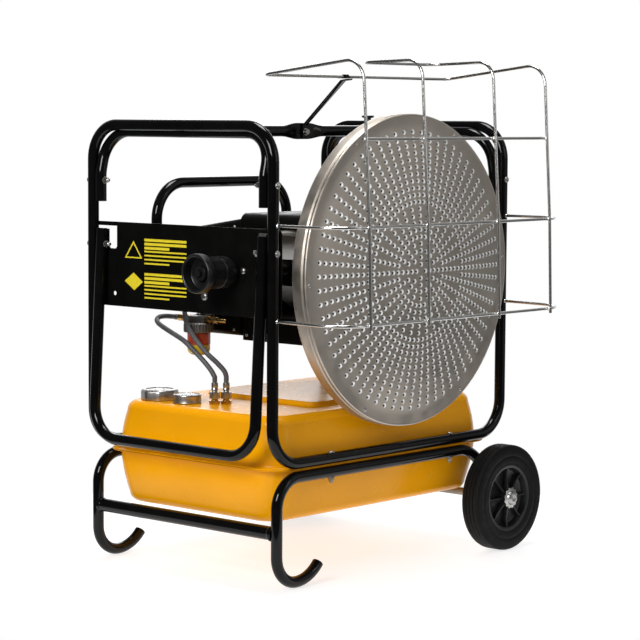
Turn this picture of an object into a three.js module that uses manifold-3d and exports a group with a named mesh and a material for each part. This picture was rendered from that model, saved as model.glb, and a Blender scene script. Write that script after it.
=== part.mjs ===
// A wheeled kerosene radiant heater: a tilting burner with a perforated emitter disc, carried in a
// bent tube frame above a pressed steel fuel tank, with two wheels at one end and skid hooks at the
// other. Millimetres, +X towards the wheels, -Y the hot face, +Z up.
import * as THREE from "three";
import { mergeVertices } from "three/addons/utils/BufferGeometryUtils.js";
import Module from "manifold-3d";

const wasm = await Module();
wasm.setup();

// ---------------------------------------------------------------- driving dimensions

const GAP = 0.3;
const TUBE = 12.7;
const HOOP_X = 398.3;
const HOOP_Y = 281;
const HOOP_TOP = 1000.7;
const HOOP_BOTTOM = 272.6;
const LOOP_Y = HOOP_Y - 2 * TUBE - GAP;
const BEND = 78;
const RAIL_Z = HOOP_TOP - TUBE - GAP / 2;
const UPPER_BAR_X = 376.8;
const LOWER_BAR_X = 425;
const LOWER_LOOP_Y = 252.5;
const LOWER_BAR_Z = 289.9;

const SKID_Y = 282;
const SKID_BAR_Z = 242.5;
const SKID_LEG_X = -384.6;
const CROSSBAR_R = 15.2;
const WHEEL_X = 347.5;
const WHEEL_R = 125;
const WHEEL_Y = 330.1;
const WHEEL_HALF_WIDTH = 25;
const AXLE_R = 10;
const AXLE_HALF = 362;
const CAP_END = 368;

const SEAM_Z = 257.55;
const TANK_TOP = 370;
const TANK_BOTTOM = 137;
const TANK_WALL = 2;
const FILLER = [-290, 176];
const GAUGE = [-294, 82];
const SUPPLY_PORT = [-262, 26];
const RETURN_PORT = [-243, 8];
const HOSE_R = 5.75;
const FITTING_TOP = 420;

const AXIS_Z = 679;
const DISC_R = 350;
const DISC_FRONT = -330.3;
const DOME_RISE = 31;
const DRUM_R = 107;
const DRUM_FRONT = -286;
const PIVOT_Y = -140;
const PIVOT_Z = 685;
const CASING_X = 195;
const CASING_FRONT = 12;
const CASING_REAR = 150;
const SHEET = 2;
const ARM_X = 204;
const ARM_SHEET = 6;
const HANDLE_Y = 255;
const PANEL_X = 383.3;
const PANEL_SHEET = 2;
const STUD_END = 450;
const KNOB_START = 387.6;
const FILTER = [-232, 107];
const HOSE_GLAND = [125, 614];

const WIRE = 3.4;
const GUARD_X = 317;
const GUARD_FOOT_Y = -487;
const GUARD_TOP_Z = 1145;

const REAR_LIMIT = CAP_END;
const FRONT_LIMIT = GUARD_FOOT_Y - WIRE;
const SHIFT_Y = -(REAR_LIMIT + FRONT_LIMIT) / 2;

// ---------------------------------------------------------------- materials

const finish = (color, roughness, metalness) =>
  new THREE.MeshStandardMaterial({ color, roughness, metalness });
const BLACK_PAINT = finish(0x0c0c0d, 0.25, 0.2);
const ORANGE_PAINT = finish(0xf4a60e, 0.3, 0.1);
const STAINLESS = finish(0xb8b0a5, 0.35, 1);
const CHROME = finish(0xd9dadb, 0.12, 1);
const ZINC = finish(0xb4b2ab, 0.4, 1);
const GALVANISED = finish(0xb3a993, 0.55, 0.8);
const BLACK_PLASTIC = finish(0x121212, 0.45, 0);
const RUBBER = finish(0x161616, 0.85, 0);
const HOSE_GREY = finish(0x57565c, 0.6, 0.1);
const BRASS = finish(0xb98b45, 0.35, 1);
const FILTER_RED = finish(0x9b2f18, 0.3, 0);
const CLEAR = finish(0xdfe6e8, 0.08, 0);
const CAST_GREY = finish(0x6d6a66, 0.5, 0.7);
const SIGNAL_RED = finish(0xb01c16, 0.4, 0);

// ---------------------------------------------------------------- helpers

const V = (x, y, z) => new THREE.Vector3(x, y, z);

// One welded, outward facing body without the slivers that a lathe leaves on its axis.
function weld(geometry) {
  const bare = geometry.clone();
  bare.deleteAttribute("normal");
  bare.deleteAttribute("uv");
  const merged = mergeVertices(bare, 1e-4);
  const p = merged.attributes.position;
  const corner = (k) => new THREE.Vector3().fromBufferAttribute(p, merged.index.getX(k));
  const kept = [];
  let volume = 0;
  for (let k = 0; k < merged.index.count; k += 3) {
    const [a, b, c] = [0, 1, 2].map((step) => merged.index.getX(k + step));
    if (a === b || b === c || c === a) continue;
    kept.push(a, b, c);
    volume += corner(k).dot(corner(k + 1).cross(corner(k + 2)));
  }
  merged.setIndex(volume > 0 ? kept : kept.reverse());
  return merged;
}

function solid(geometry) {
  const welded = weld(geometry);
  const vertProperties = new Float32Array(welded.attributes.position.array);
  const triVerts = new Uint32Array(welded.index.array);
  return new wasm.Manifold(new wasm.Mesh({ numProp: 3, vertProperties, triVerts }));
}

function surface(manifold) {
  const mesh = manifold.getMesh();
  const geometry = new THREE.BufferGeometry();
  geometry.setAttribute("position", new THREE.BufferAttribute(mesh.vertProperties, 3));
  geometry.setIndex(new THREE.BufferAttribute(mesh.triVerts, 1));
  return geometry;
}

const join = (...pieces) => surface(pieces.map(solid).reduce((whole, piece) => whole.add(piece)));
const cut = (base, ...tools) =>
  surface(tools.map(solid).reduce((whole, tool) => whole.subtract(tool), solid(base)));

// A curve that returns exactly the points it is given, so that a tube's rings fall on them.
class TubeRoute extends THREE.Curve {
  constructor(points) {
    super();
    this.points = points;
  }

  getPointAt(u, target = new THREE.Vector3()) {
    return target.copy(this.points[Math.round(u * (this.points.length - 1))]);
  }

  getPoint(u, target) {
    return this.getPointAt(u, target);
  }

  getTangentAt(u, target = new THREE.Vector3()) {
    const last = this.points.length - 1;
    const here = Math.round(u * last);
    const before = this.points[Math.max(here - 1, 0)];
    const after = this.points[Math.min(here + 1, last)];
    const middle = this.points[here];
    const into = middle.clone().sub(before).normalize();
    const out = after.clone().sub(middle).normalize();
    return target.copy(into.add(out).normalize());
  }
}

// Straight runs between corners, with an arc of the given radius at each corner.
function rounded(corners, steps = 4) {
  const points = [corners[0][0]];
  for (let k = 1; k < corners.length - 1; k += 1) {
    const [corner, radius] = corners[k];
    const into = corner.clone().sub(corners[k - 1][0]).normalize();
    const out = corners[k + 1][0].clone().sub(corner).normalize();
    const turn = into.angleTo(out);
    const start = corner.clone().addScaledVector(into, -radius * Math.tan(turn / 2));
    const axis = into.clone().cross(out).normalize();
    const centre = start.clone().addScaledVector(axis.clone().cross(into), radius);
    for (let step = 0; step <= steps; step += 1) {
      const arm = start.clone().sub(centre).applyAxisAngle(axis, (turn * step) / steps);
      points.push(arm.add(centre));
    }
  }
  points.push(corners[corners.length - 1][0]);
  return points;
}

// An arc in the XZ plane, angles in degrees from +X towards +Z.
function arc(y, centreX, centreZ, radius, from, to, steps) {
  const points = [];
  for (let step = 0; step <= steps; step += 1) {
    const angle = THREE.MathUtils.degToRad(from + ((to - from) * step) / steps);
    points.push(V(centreX + radius * Math.cos(angle), y, centreZ + radius * Math.sin(angle)));
  }
  return points;
}

function tube(points, radius, sides = 10) {
  const section = new THREE.Shape();
  for (let k = 0; k < sides; k += 1) {
    const angle = (2 * Math.PI * k) / sides;
    const at = [radius * Math.cos(angle), radius * Math.sin(angle)];
    if (k === 0) section.moveTo(...at);
    else section.lineTo(...at);
  }
  return new THREE.ExtrudeGeometry(section, {
    steps: points.length - 1,
    bevelEnabled: false,
    extrudePath: new TubeRoute(points),
  });
}

// A closed skin over rings with the same number of points, flat at both ends.
function loft(rings) {
  const count = rings[0].length;
  const last = (rings.length - 1) * count;
  const index = [];
  for (let ring = 0; ring < rings.length - 1; ring += 1) {
    for (let k = 0; k < count; k += 1) {
      const a = ring * count + k;
      const b = ring * count + ((k + 1) % count);
      index.push(a, b, b + count, a, b + count, a + count);
    }
  }
  for (let k = 1; k < count - 1; k += 1) {
    index.push(0, k + 1, k, last, last + k, last + k + 1);
  }
  const geometry = new THREE.BufferGeometry();
  const flat = rings.flat().flatMap((p) => [p.x, p.y, p.z]);
  geometry.setAttribute("position", new THREE.Float32BufferAttribute(flat, 3));
  geometry.setIndex(index);
  return geometry;
}

// The corners of a rounded rectangle, as [x, y] pairs running anticlockwise.
function roundedCorners(halfX, halfY, radius, steps = 4) {
  const signs = [[1, 1], [-1, 1], [-1, -1], [1, -1]];
  return signs.flatMap(([signX, signY], quarter) => {
    const pairs = [];
    for (let step = 0; step <= steps; step += 1) {
      const angle = (quarter + step / steps) * (Math.PI / 2);
      const x = signX * (halfX - radius) + radius * Math.cos(angle);
      const y = signY * (halfY - radius) + radius * Math.sin(angle);
      pairs.push([x, y]);
    }
    return pairs;
  });
}

const levelRing = (halfX, halfY, radius, z) =>
  roundedCorners(halfX, halfY, radius).map(([x, y]) => V(x, y, z));

// Lathe profiles are [radius, distance along the axis] pairs.
const lathe = (profile, segments = 48) =>
  new THREE.LatheGeometry(profile.map(([r, t]) => new THREE.Vector2(r, t)), segments);
const alongZ = (geometry) => geometry.rotateX(Math.PI / 2);
const alongX = (geometry) => geometry.rotateZ(-Math.PI / 2);
const rod = (radius, length, sides = 24) => new THREE.CylinderGeometry(radius, radius, length, sides);
const block = (x0, x1, y0, y1, z0, z1) =>
  new THREE.BoxGeometry(x1 - x0, y1 - y0, z1 - z0)
    .translate((x0 + x1) / 2, (y0 + y1) / 2, (z0 + z1) / 2);

const outline = (pairs) => new THREE.Shape(pairs.map(([x, y]) => new THREE.Vector2(x, y)));
const FACING_X = new THREE.Matrix4().makeBasis(V(0, 1, 0), V(0, 0, 1), V(1, 0, 0));
const FACING_FRONT = new THREE.Matrix4().makeBasis(V(1, 0, 0), V(0, 0, 1), V(0, -1, 0));
const plate = (shape, depth, facing) =>
  new THREE.ExtrudeGeometry(shape, { depth, bevelEnabled: false, curveSegments: 8 })
    .applyMatrix4(facing);

const group = new THREE.Group();
const machine = new THREE.Group();
machine.position.y = SHIFT_Y;
group.add(machine);

function add(name, geometry, material, at = [0, 0, 0]) {
  const mesh = new THREE.Mesh(weld(geometry), material);
  mesh.name = name;
  mesh.position.set(...at);
  machine.add(mesh);
}

// ---------------------------------------------------------------- tube frame

function hoop(side) {
  const spliceX = side < 0 ? 17 - GAP / 2 : 17 + GAP / 2;
  const x = side * HOOP_X;
  return tube(rounded([
    [V(spliceX, -HOOP_Y, HOOP_BOTTOM)],
    [V(x, -HOOP_Y, HOOP_BOTTOM), 80],
    [V(x, -HOOP_Y, HOOP_TOP), BEND],
    [V(x, HOOP_Y, HOOP_TOP), BEND],
    [V(x, HOOP_Y, HOOP_BOTTOM), 80],
    [V(spliceX, HOOP_Y, HOOP_BOTTOM)],
  ]), TUBE);
}

// The legs stand beside the hoop's legs, then lean inward so that the bar runs behind the hoop's.
function upperLoop(side) {
  const x = side * HOOP_X;
  const barX = side * UPPER_BAR_X;
  const footZ = 827;
  const kneeZ = 893;
  const barZ = 986;
  return tube(rounded([
    [V(x, -LOOP_Y, footZ)],
    [V(x, -LOOP_Y, kneeZ), 90],
    [V(barX, -LOOP_Y, barZ), 70],
    [V(barX, LOOP_Y, barZ), 70],
    [V(x, LOOP_Y, kneeZ), 90],
    [V(x, LOOP_Y, footZ)],
  ]), TUBE);
}

// Lower bar across the lifting end of the frame, leaning out from the hoop; the wheel end has none.
function lowerLoop() {
  const topZ = 766;
  return tube(rounded([
    [V(-HOOP_X, -LOWER_LOOP_Y, topZ)],
    [V(-LOWER_BAR_X, -LOWER_LOOP_Y, LOWER_BAR_Z), 75],
    [V(-LOWER_BAR_X, LOWER_LOOP_Y, LOWER_BAR_Z), 75],
    [V(-HOOP_X, LOWER_LOOP_Y, topZ)],
  ]), TUBE);
}

// Half of the top rail: a round tube whose inner end is pressed flat and lapped over the other's.
function railHalf(side) {
  const flatHeight = 19;
  const flatHalf = 3;
  const lap = 17;
  const stations = [
    [-UPPER_BAR_X + TUBE + GAP, 0], [-70, 0], [-58, 0.15], [-46, 0.5], [-34, 0.85], [-22, 1], [lap, 1],
  ];
  const rings = stations.map(([x, pressed]) => {
    const ring = [];
    for (let k = 0; k < 16; k += 1) {
      const angle = (2 * Math.PI * k) / 16;
      const flatY = flatHalf * THREE.MathUtils.clamp(1.7 * Math.cos(angle), -1, 1);
      const y = THREE.MathUtils.lerp(TUBE * Math.cos(angle), flatY, pressed);
      const z = THREE.MathUtils.lerp(TUBE, flatHeight, pressed) * Math.sin(angle);
      const offset = pressed * (flatHalf + GAP / 2) * side;
      ring.push(V(-side * x, y + offset, RAIL_Z + z));
    }
    return ring;
  });
  return loft(rings);
}

// Flat bar from the lapped rail ends up to the guard, with a foot and a level tab.
function guardStay() {
  const half = 7;
  const thick = 1.5;
  const footY = -6 - GAP / 2 - GAP - thick;
  const route = [
    V(0, footY, RAIL_Z - 16),
    V(0, footY - 0.3, RAIL_Z + 14),
    V(-45, -165, 1103),
    V(-50, -190, 1105.2),
  ];
  const widths = [V(1, 0, 0), V(1, 0, 0), V(0.96, -0.28, 0), V(0.98, -0.2, 0)];
  const curve = new TubeRoute(route);
  const rings = route.map((point, k) => {
    const across = widths[k].normalize();
    const through = curve.getTangentAt(k / (route.length - 1)).cross(across).normalize();
    return [[-1, -1], [1, -1], [1, 1], [-1, 1]].map(([a, b]) =>
      point.clone().addScaledVector(across, a * half).addScaledVector(through, b * thick));
  });
  return loft(rings);
}

function cordHanger() {
  const foot = HOOP_TOP + TUBE + GAP;
  const profile = [
    [-7, foot], [7, foot], [6, foot + 4], [15, foot + 6], [17, foot + 11],
    [-17, foot + 11], [-15, foot + 6], [-6, foot + 4],
  ];
  return plate(outline(profile), 10, FACING_X).translate(HOOP_X - 5, 142, 0);
}

for (const [side, label] of [[-1, "left"], [1, "right"]]) {
  add(`frame_hoop_${label}`, hoop(side), BLACK_PAINT);
  add(`upper_loop_${label}`, upperLoop(side), BLACK_PAINT);
  add(`top_rail_${label}`, railHalf(side), BLACK_PAINT);
}
add("lower_loop", lowerLoop(), BLACK_PAINT);
add("guard_stay", guardStay(), BLACK_PAINT);
add("cord_hanger", cordHanger(), BLACK_PLASTIC);

// ---------------------------------------------------------------- undercarriage

function skidTube(y) {
  const railEnd = arc(y, 240, 135, WHEEL_X - 240, 0, 90, 5);
  const topBend = arc(y, SKID_LEG_X + 66, SKID_BAR_Z - 66, 66, 90, 180, 4);
  const hookHeel = arc(y, SKID_LEG_X + 61.3, TUBE + 61.3, 61.3, 180, 270, 5);
  const hookToe = arc(y, SKID_LEG_X + 61.3, TUBE + 95, 95, -90, -40, 5).slice(1);
  railEnd[0].z = WHEEL_R + AXLE_R + GAP;
  return tube([...railEnd, ...topBend, ...hookHeel, ...hookToe], TUBE);
}

function tyre() {
  const half = WHEEL_HALF_WIDTH;
  return lathe([
    [79.1, -22], [79.1, 22], [115, half], [122, 23], [WHEEL_R, 17], [WHEEL_R, -17], [122, -23],
    [115, -half], [79.1, -22],
  ], 40);
}

// side is -1 for the front wheel; the long hub boss points at the frame.
function rim(side) {
  const bore = AXLE_R + GAP;
  const inner = -side * 33;
  const outer = side * 25.2;
  const body = lathe([
    [bore, outer], [20, outer], [20, side * 6], [70, side * 4], [70, side * 22], [78.8, side * 22],
    [78.8, -side * 22], [70, -side * 22], [70, -side * 4], [20, -side * 6], [20, inner],
    [bore, inner], [bore, outer],
  ], 26);
  const ribs = [];
  for (let k = 0; k < 8; k += 1) {
    ribs.push(block(19, 71, -16, 16, -2, 2).rotateY((k * Math.PI) / 4));
  }
  return join(body, ...ribs);
}

function axleCap(side) {
  const start = side * (WHEEL_Y + 25.5);
  const end = side * CAP_END;
  const bore = side * (AXLE_HALF + GAP);
  return lathe([
    [0, end], [23, end], [25, end - side * 2], [25, start],
    [AXLE_R + GAP, start], [AXLE_R + GAP, bore], [0, bore],
  ], 14);
}

add("skid_tube_front", skidTube(-SKID_Y), BLACK_PAINT);
add("skid_tube_rear", skidTube(SKID_Y), BLACK_PAINT);
const crossHalf = SKID_Y - TUBE - GAP;
add("skid_crossbar", tube([V(0, -crossHalf, 0), V(0, crossHalf, 0)], CROSSBAR_R), BLACK_PAINT,
  [SKID_LEG_X, 0, 125.2]);
add("axle_bar", rod(AXLE_R, 2 * AXLE_HALF), CAST_GREY, [WHEEL_X, 0, WHEEL_R]);
for (const [side, label] of [[-1, "front"], [1, "rear"]]) {
  const hub = [WHEEL_X, side * WHEEL_Y, WHEEL_R];
  add(`tyre_${label}`, tyre(), RUBBER, hub);
  add(`wheel_rim_${label}`, rim(side), BLACK_PLASTIC, hub);
  add(`axle_cap_${label}`, axleCap(side), ZINC, [WHEEL_X, 0, WHEEL_R]);
}

// ---------------------------------------------------------------- fuel tank

const FLANGE = [382, 283, 78];
const WAIST = [366, 262, 60];

// Rings round the tank's shoulder, a quarter ellipse from the wall to the flat.
function shoulder(halfX, halfY, radius, wallZ, flatZ, drop) {
  const rings = [];
  for (let step = 0; step <= 4; step += 1) {
    const angle = (step / 4) * (Math.PI / 2);
    const inset = drop * (1 - Math.cos(angle));
    const z = wallZ + (flatZ - wallZ) * Math.sin(angle);
    rings.push(levelRing(halfX - inset, halfY - inset, radius - inset * 0.6, z));
  }
  return rings;
}

function grown([halfX, halfY, radius], by) {
  return [halfX + by, halfY + by, radius + by];
}

function tankUpper() {
  const skin = (by) => [
    levelRing(...grown(WAIST, by), SEAM_Z + SHEET),
    ...shoulder(355 + by, 247 + by, 54 + by, 348, TANK_TOP + by, 22),
  ];
  const outer = [
    levelRing(...FLANGE, SEAM_Z + GAP / 2),
    levelRing(...FLANGE, SEAM_Z + SHEET),
    ...skin(0),
  ];
  const inner = [levelRing(...grown(WAIST, -TANK_WALL), SEAM_Z - 2), ...skin(-TANK_WALL)];
  const raised = (halfX, halfY, top) => loft([
    levelRing(halfX, halfY, 18, TANK_TOP - 8),
    levelRing(halfX, halfY, 18, top - 3),
    levelRing(halfX - 1, halfY - 1, 17, top - 1),
    levelRing(halfX - 3, halfY - 3, 15, top),
  ]).translate(71, 0, 0);
  const shell = join(loft(outer), raised(219, 169, TANK_TOP + 10));
  const pocket = raised(217, 167, TANK_TOP + 8).translate(0, 0, -3);
  const mouth = alongZ(rod(24, 60)).translate(...FILLER, TANK_TOP);
  return cut(shell, loft(inner), pocket, mouth);
}

function tankLower() {
  const skin = (by) => [
    ...shoulder(356 + by, 239 + by, 54 + by, TANK_BOTTOM + 20, TANK_BOTTOM - by, 20).reverse(),
    levelRing(...grown(WAIST, by), SEAM_Z - SHEET),
  ];
  const outer = [
    ...skin(0),
    levelRing(...FLANGE, SEAM_Z - SHEET),
    levelRing(...FLANGE, SEAM_Z - GAP / 2),
  ];
  const inner = [...skin(-TANK_WALL), levelRing(...grown(WAIST, -TANK_WALL), SEAM_Z + 2)];
  return cut(loft(outer), loft(inner));
}

function fillerNeck() {
  const foot = TANK_TOP + GAP;
  return alongZ(lathe([
    [24, foot], [32, foot], [32, foot + 2], [28, foot + 3], [28, foot + 16], [24, foot + 16],
    [24, foot],
  ], 20));
}

// A lobed cap, hollow underneath so that it closes over the neck.
function fuelCap() {
  const lobes = 8;
  const ring = (scale, z) => {
    const points = [];
    for (let k = 0; k < 32; k += 1) {
      const angle = (2 * Math.PI * k) / 32;
      const radius = scale * (41.6 + 1.9 * Math.cos(lobes * angle));
      points.push(V(radius * Math.cos(angle), radius * Math.sin(angle), z));
    }
    return points;
  };
  const foot = TANK_TOP + 1;
  const body = loft([
    ring(1, foot), ring(1, foot + 19), ring(0.95, foot + 23), ring(0.86, foot + 24),
  ]);
  const hollow = alongZ(rod(33.2, 40)).translate(0, 0, foot - 3.2);
  return cut(body, hollow);
}

function gaugeBody() {
  const foot = TANK_TOP + GAP;
  return alongZ(lathe([
    [0, foot], [30, foot], [32.5, foot + 2], [32.5, foot + 18], [31, foot + 20.7],
    [28.2, foot + 20.7], [28.2, foot + 12], [0, foot + 12],
  ], 28));
}

function gaugeLens() {
  const base = TANK_TOP + 18;
  return alongZ(lathe([[0, base], [27.8, base], [27.8, base + 2], [0, base + 4]], 28));
}

function gaugeNeedle() {
  const pointer = outline([[-6, -2.5], [3, -2.5], [22, -0.7], [22, 0.7], [3, 2.5], [-6, 2.5]]);
  return new THREE.ExtrudeGeometry(pointer, { depth: 1.2, bevelEnabled: false });
}

// Brass adaptor, swivel nut and crimped ferrule, all stepped up from one hexagon.
function hoseFitting() {
  const ring = (across, round, z) => {
    const points = [];
    for (let k = 0; k < 12; k += 1) {
      const angle = (2 * Math.PI * k) / 12;
      const fromFlat = ((angle + Math.PI / 6) % (Math.PI / 3)) - Math.PI / 6;
      const hexagon = across / 2 / Math.cos(fromFlat);
      const radius = THREE.MathUtils.lerp(hexagon, across / 2, round);
      points.push(V(radius * Math.cos(angle), radius * Math.sin(angle), z));
    }
    return points;
  };
  const foot = TANK_TOP + GAP;
  return loft([
    ring(19.5, 0, foot), ring(19.5, 0, foot + 8), ring(15, 1, foot + 8), ring(15, 1, foot + 10),
    ring(18.5, 0, foot + 10), ring(18.5, 0, foot + 29), ring(11, 1, foot + 29), ring(11, 1, foot + 31),
    ring(13, 1, foot + 31), ring(13, 1, FITTING_TOP),
  ]);
}

add("tank_upper", tankUpper(), ORANGE_PAINT);
add("tank_lower", tankLower(), ORANGE_PAINT);
add("fuel_filler_neck", fillerNeck(), ZINC, [...FILLER, 0]);
add("fuel_cap", fuelCap(), CHROME, [...FILLER, 0]);
add("gauge_body", gaugeBody(), CHROME, [...GAUGE, 0]);
add("gauge_lens", gaugeLens(), CLEAR, [...GAUGE, 0]);
add("gauge_needle", gaugeNeedle(), SIGNAL_RED, [...GAUGE, TANK_TOP + 14]);
add("hose_fitting_supply", hoseFitting(), BRASS, [...SUPPLY_PORT, 0]);
add("hose_fitting_return", hoseFitting(), BRASS, [...RETURN_PORT, 0]);

// ---------------------------------------------------------------- side panels

function sidePanel() {
  const top = 781;
  const bottom = 589;
  const half = 294;
  const middle = (top + bottom) / 2;
  const rim2d = roundedCorners(half, (top - bottom) / 2, 12, 4).map(([y, z]) => [y, z + middle]);
  const shape = outline(rim2d);
  const round = (y, z, radius) => new THREE.Path().absarc(y, z, radius, 0, 2 * Math.PI);
  const pathOf = (pairs) => new THREE.Path(pairs.map(([y, z]) => new THREE.Vector2(y, z)));
  shape.holes.push(round(PIVOT_Y, PIVOT_Z, 7), round(224, 618, 5));
  shape.holes.push(pathOf([
    [217, 725], [221, 720], [239, 720], [243, 725], [243, 764], [280, 764], [280, 771.5], [217, 771.5],
  ]));
  shape.holes.push(pathOf([[-252, 762], [-226, 762], [-226, 772], [-252, 772]]));
  return plate(shape, PANEL_SHEET, FACING_X);
}

add("side_panel_left", sidePanel(), BLACK_PAINT, [-PANEL_X - PANEL_SHEET, 0, 0]);
add("side_panel_right", sidePanel(), BLACK_PAINT, [PANEL_X, 0, 0]);

// ---------------------------------------------------------------- wire guard

const GUARD_KNEE_Y = -481;
const GUARD_KNEE_Z = 790;
const GUARD_HEAD_Y = -460;
const GUARD_FOOT_Z = 574;

function guardLoop(halfX, rearY, rearZ, frontBend, rearBend) {
  const leg = [
    [V(-halfX, GUARD_FOOT_Y, GUARD_FOOT_Z)],
    [V(-halfX, GUARD_KNEE_Y, GUARD_KNEE_Z), 60],
    [V(-halfX, GUARD_HEAD_Y, GUARD_TOP_Z), frontBend],
    [V(-halfX, rearY, rearZ), rearBend],
  ];
  const other = leg.map(([point, radius]) => [V(-point.x, point.y, point.z), radius]);
  return tube(rounded([...leg, ...other.reverse()], 3), WIRE, 6);
}

function guardHoopWire(z, frontY, endZ) {
  const startY = -HOOP_Y - TUBE - GAP;
  const leg = [
    [V(-HOOP_X, startY, endZ)],
    [V(-HOOP_X, frontY, z), 80],
  ];
  const other = leg.map(([point, radius]) => [V(-point.x, point.y, point.z), radius]);
  return tube(rounded([...leg, ...other.reverse()], 4), WIRE, 6);
}

function guardStraightWire(z, y) {
  return tube([V(-GUARD_X - 3, y, z), V(GUARD_X + 3, y, z)], WIRE, 6);
}

add("guard_outer_loop", guardLoop(GUARD_X, -175, 1111, 46, 16), CHROME);
add("guard_inner_loop", guardLoop(124, -285, 1140, 40, 30), CHROME);
add("guard_wire_top", guardStraightWire(975, -462.8), CHROME);
add("guard_wire_middle", guardHoopWire(GUARD_KNEE_Z, -473.8, 789.5), CHROME);
add("guard_wire_bottom", guardHoopWire(584, -479.7, 586), CHROME);

// ---------------------------------------------------------------- burner

function discRim() {
  const back = -288;
  const cone = -262;
  const hole = DRUM_R + GAP;
  return lathe([
    [346.2, DISC_FRONT], [DISC_R, DISC_FRONT], [DISC_R, -323], [347.5, -321.5], [347.5, -319.5],
    [DISC_R, -318], [DISC_R, back], [hole, cone], [hole, cone - 1.5], [346.2, back - 3],
    [346.2, DISC_FRONT],
  ], 48).translate(0, 0, AXIS_Z);
}

// The front plate bulges forward as a shallow dome inside a flat border.
function discFrontPlate() {
  const edge = 345.8;
  const borderR = 325;
  const thick = 1.5;
  const dome = (front) => {
    const pairs = [];
    for (let step = 0; step <= 3; step += 1) {
      pairs.push([(borderR * step) / 3, front - DOME_RISE * (1 - (step / 3) ** 2)]);
    }
    return pairs;
  };
  return lathe([
    ...dome(DISC_FRONT), [edge, DISC_FRONT], [edge, -318], [edge - thick, -318],
    [edge - thick, DISC_FRONT + thick], ...dome(DISC_FRONT + thick).reverse(),
  ], 48).translate(0, 0, AXIS_Z);
}

function combustionChamber() {
  const inner = DRUM_R - 1.5;
  return lathe([
    [DRUM_R, DRUM_FRONT], [DRUM_R, 0], [42, 0], [42, -1.5], [inner, -1.5], [inner, DRUM_FRONT],
    [DRUM_R, DRUM_FRONT],
  ], 32).translate(0, 0, AXIS_Z);
}

function flameTube() {
  const seat = DRUM_R - 1.5 - GAP;
  return lathe([
    [80, -240], [80, -24], [seat, -24], [seat, -22.5], [78.5, -22.5], [78.5, -240], [80, -240],
  ], 32).translate(0, 0, AXIS_Z);
}

function nozzleAssembly() {
  return lathe([
    [0, -34], [4, -34], [9, -26], [14, -26], [14, GAP], [55, GAP], [55, 3], [12, 3], [12, 10], [0, 10],
  ], 14).translate(0, 0, AXIS_Z);
}

function topHood() {
  const roof = 803;
  const eave = 768;
  const bend = 24;
  const length = CASING_FRONT - GAP + 165;
  const edge = (by) => {
    const points = [[CASING_X - by, eave]];
    for (let step = 0; step <= 10; step += 1) {
      const angle = (step / 10) * Math.PI;
      const side = step < 5 ? 1 : -1;
      const middle = step === 5 ? 0 : side * (CASING_X - bend);
      points.push([middle + (bend - by) * Math.cos(angle), roof - bend + (bend - by) * Math.sin(angle)]);
    }
    points.push([-CASING_X + by, eave]);
    return points;
  };
  const shape = outline([...edge(0), ...edge(SHEET).reverse()]);
  return plate(shape, length, FACING_FRONT).translate(0, CASING_FRONT - GAP, 0);
}

function heatShield() {
  const flangeZ = 757;
  const low = flangeZ - AXIS_Z;
  const arch = (radius, height) => {
    const spread = Math.acos(height / radius);
    const points = [];
    for (let step = 0; step <= 16; step += 1) {
      const angle = -spread + (2 * spread * step) / 16;
      points.push([radius * Math.sin(angle), AXIS_Z + radius * Math.cos(angle)]);
    }
    return points;
  };
  const shape = outline([
    [-193, flangeZ + SHEET], ...arch(116, low + SHEET), [193, flangeZ + SHEET], [193, flangeZ],
    ...arch(114, low).reverse(), [-193, flangeZ],
  ]);
  return plate(shape, 183, FACING_FRONT).translate(0, 8, 0);
}

function baseBox() {
  const floor = 513;
  const roof = 570;
  const centreY = (-200 + 10) / 2;
  const pan = (by, z0, z1) => loft([
    levelRing(CASING_X - by, 105 - by, 14 - by, z0),
    levelRing(CASING_X - by, 105 - by, 14 - by, z1),
  ]).translate(0, centreY, 0);
  return cut(pan(0, floor, roof), pan(SHEET, floor - 2, roof - SHEET));
}

function rearCover() {
  const ring = (y, by, roof) => {
    const floor = 521;
    const middle = (floor + roof) / 2;
    return roundedCorners(CASING_X - by, (roof - floor) / 2 - by, 15 - by, 4)
      .map(([x, z]) => V(x, y, z + middle));
  };
  const outer = loft([ring(CASING_FRONT, 0, 790), ring(CASING_REAR, 0, 768)]);
  const inner = loft([ring(CASING_FRONT + SHEET, SHEET, 790), ring(CASING_REAR - SHEET, SHEET, 768)]);
  const throat = rod(75, 12).translate(0, CASING_FRONT, AXIS_Z);
  const boss = alongX(rod(10, 9, 16)).translate(-CASING_X - 3.5, ...HOSE_GLAND);
  return cut(join(outer, boss), inner, throat);
}

function controlBox() {
  const front = CASING_REAR + GAP;
  const face = 186;
  const shell = loft([
    ...[[0, front], [0, face - 4], [1.2, face - 1.2], [4, face]].map(([by, y]) =>
      roundedCorners(100 - by, 60 - by, 12 - by, 4).map(([x, z]) => V(x, y, z + 620))),
  ]);
  const pocket = block(-61.5, -38.5, face - 9, face + 5, 636.5, 663.5);
  const gland = alongZ(rod(9, 14, 16)).translate(60, 168, 556);
  return cut(join(shell, gland), pocket);
}

function rockerSwitch() {
  const profile = outline([[-4, -12], [3.5, -12], [1, 0], [3.5, 12], [-4, 12]]);
  return plate(profile, 22, FACING_X).translate(-11, 0, 0);
}

function thermostatDial() {
  const knob = lathe([[0, GAP], [18, GAP], [18, 4], [14, 6], [13, 14], [0, 14]], 20);
  return join(knob, block(-2.5, 2.5, 5, 17, -13, 13));
}

function handleLoop() {
  const x = ARM_X + ARM_SHEET + GAP + TUBE;
  return tube(rounded([
    [V(-x, HANDLE_Y, 645)],
    [V(-x, HANDLE_Y, 865), 85],
    [V(x, HANDLE_Y, 865), 85],
    [V(x, HANDLE_Y, 645)],
  ]), TUBE);
}

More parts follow.
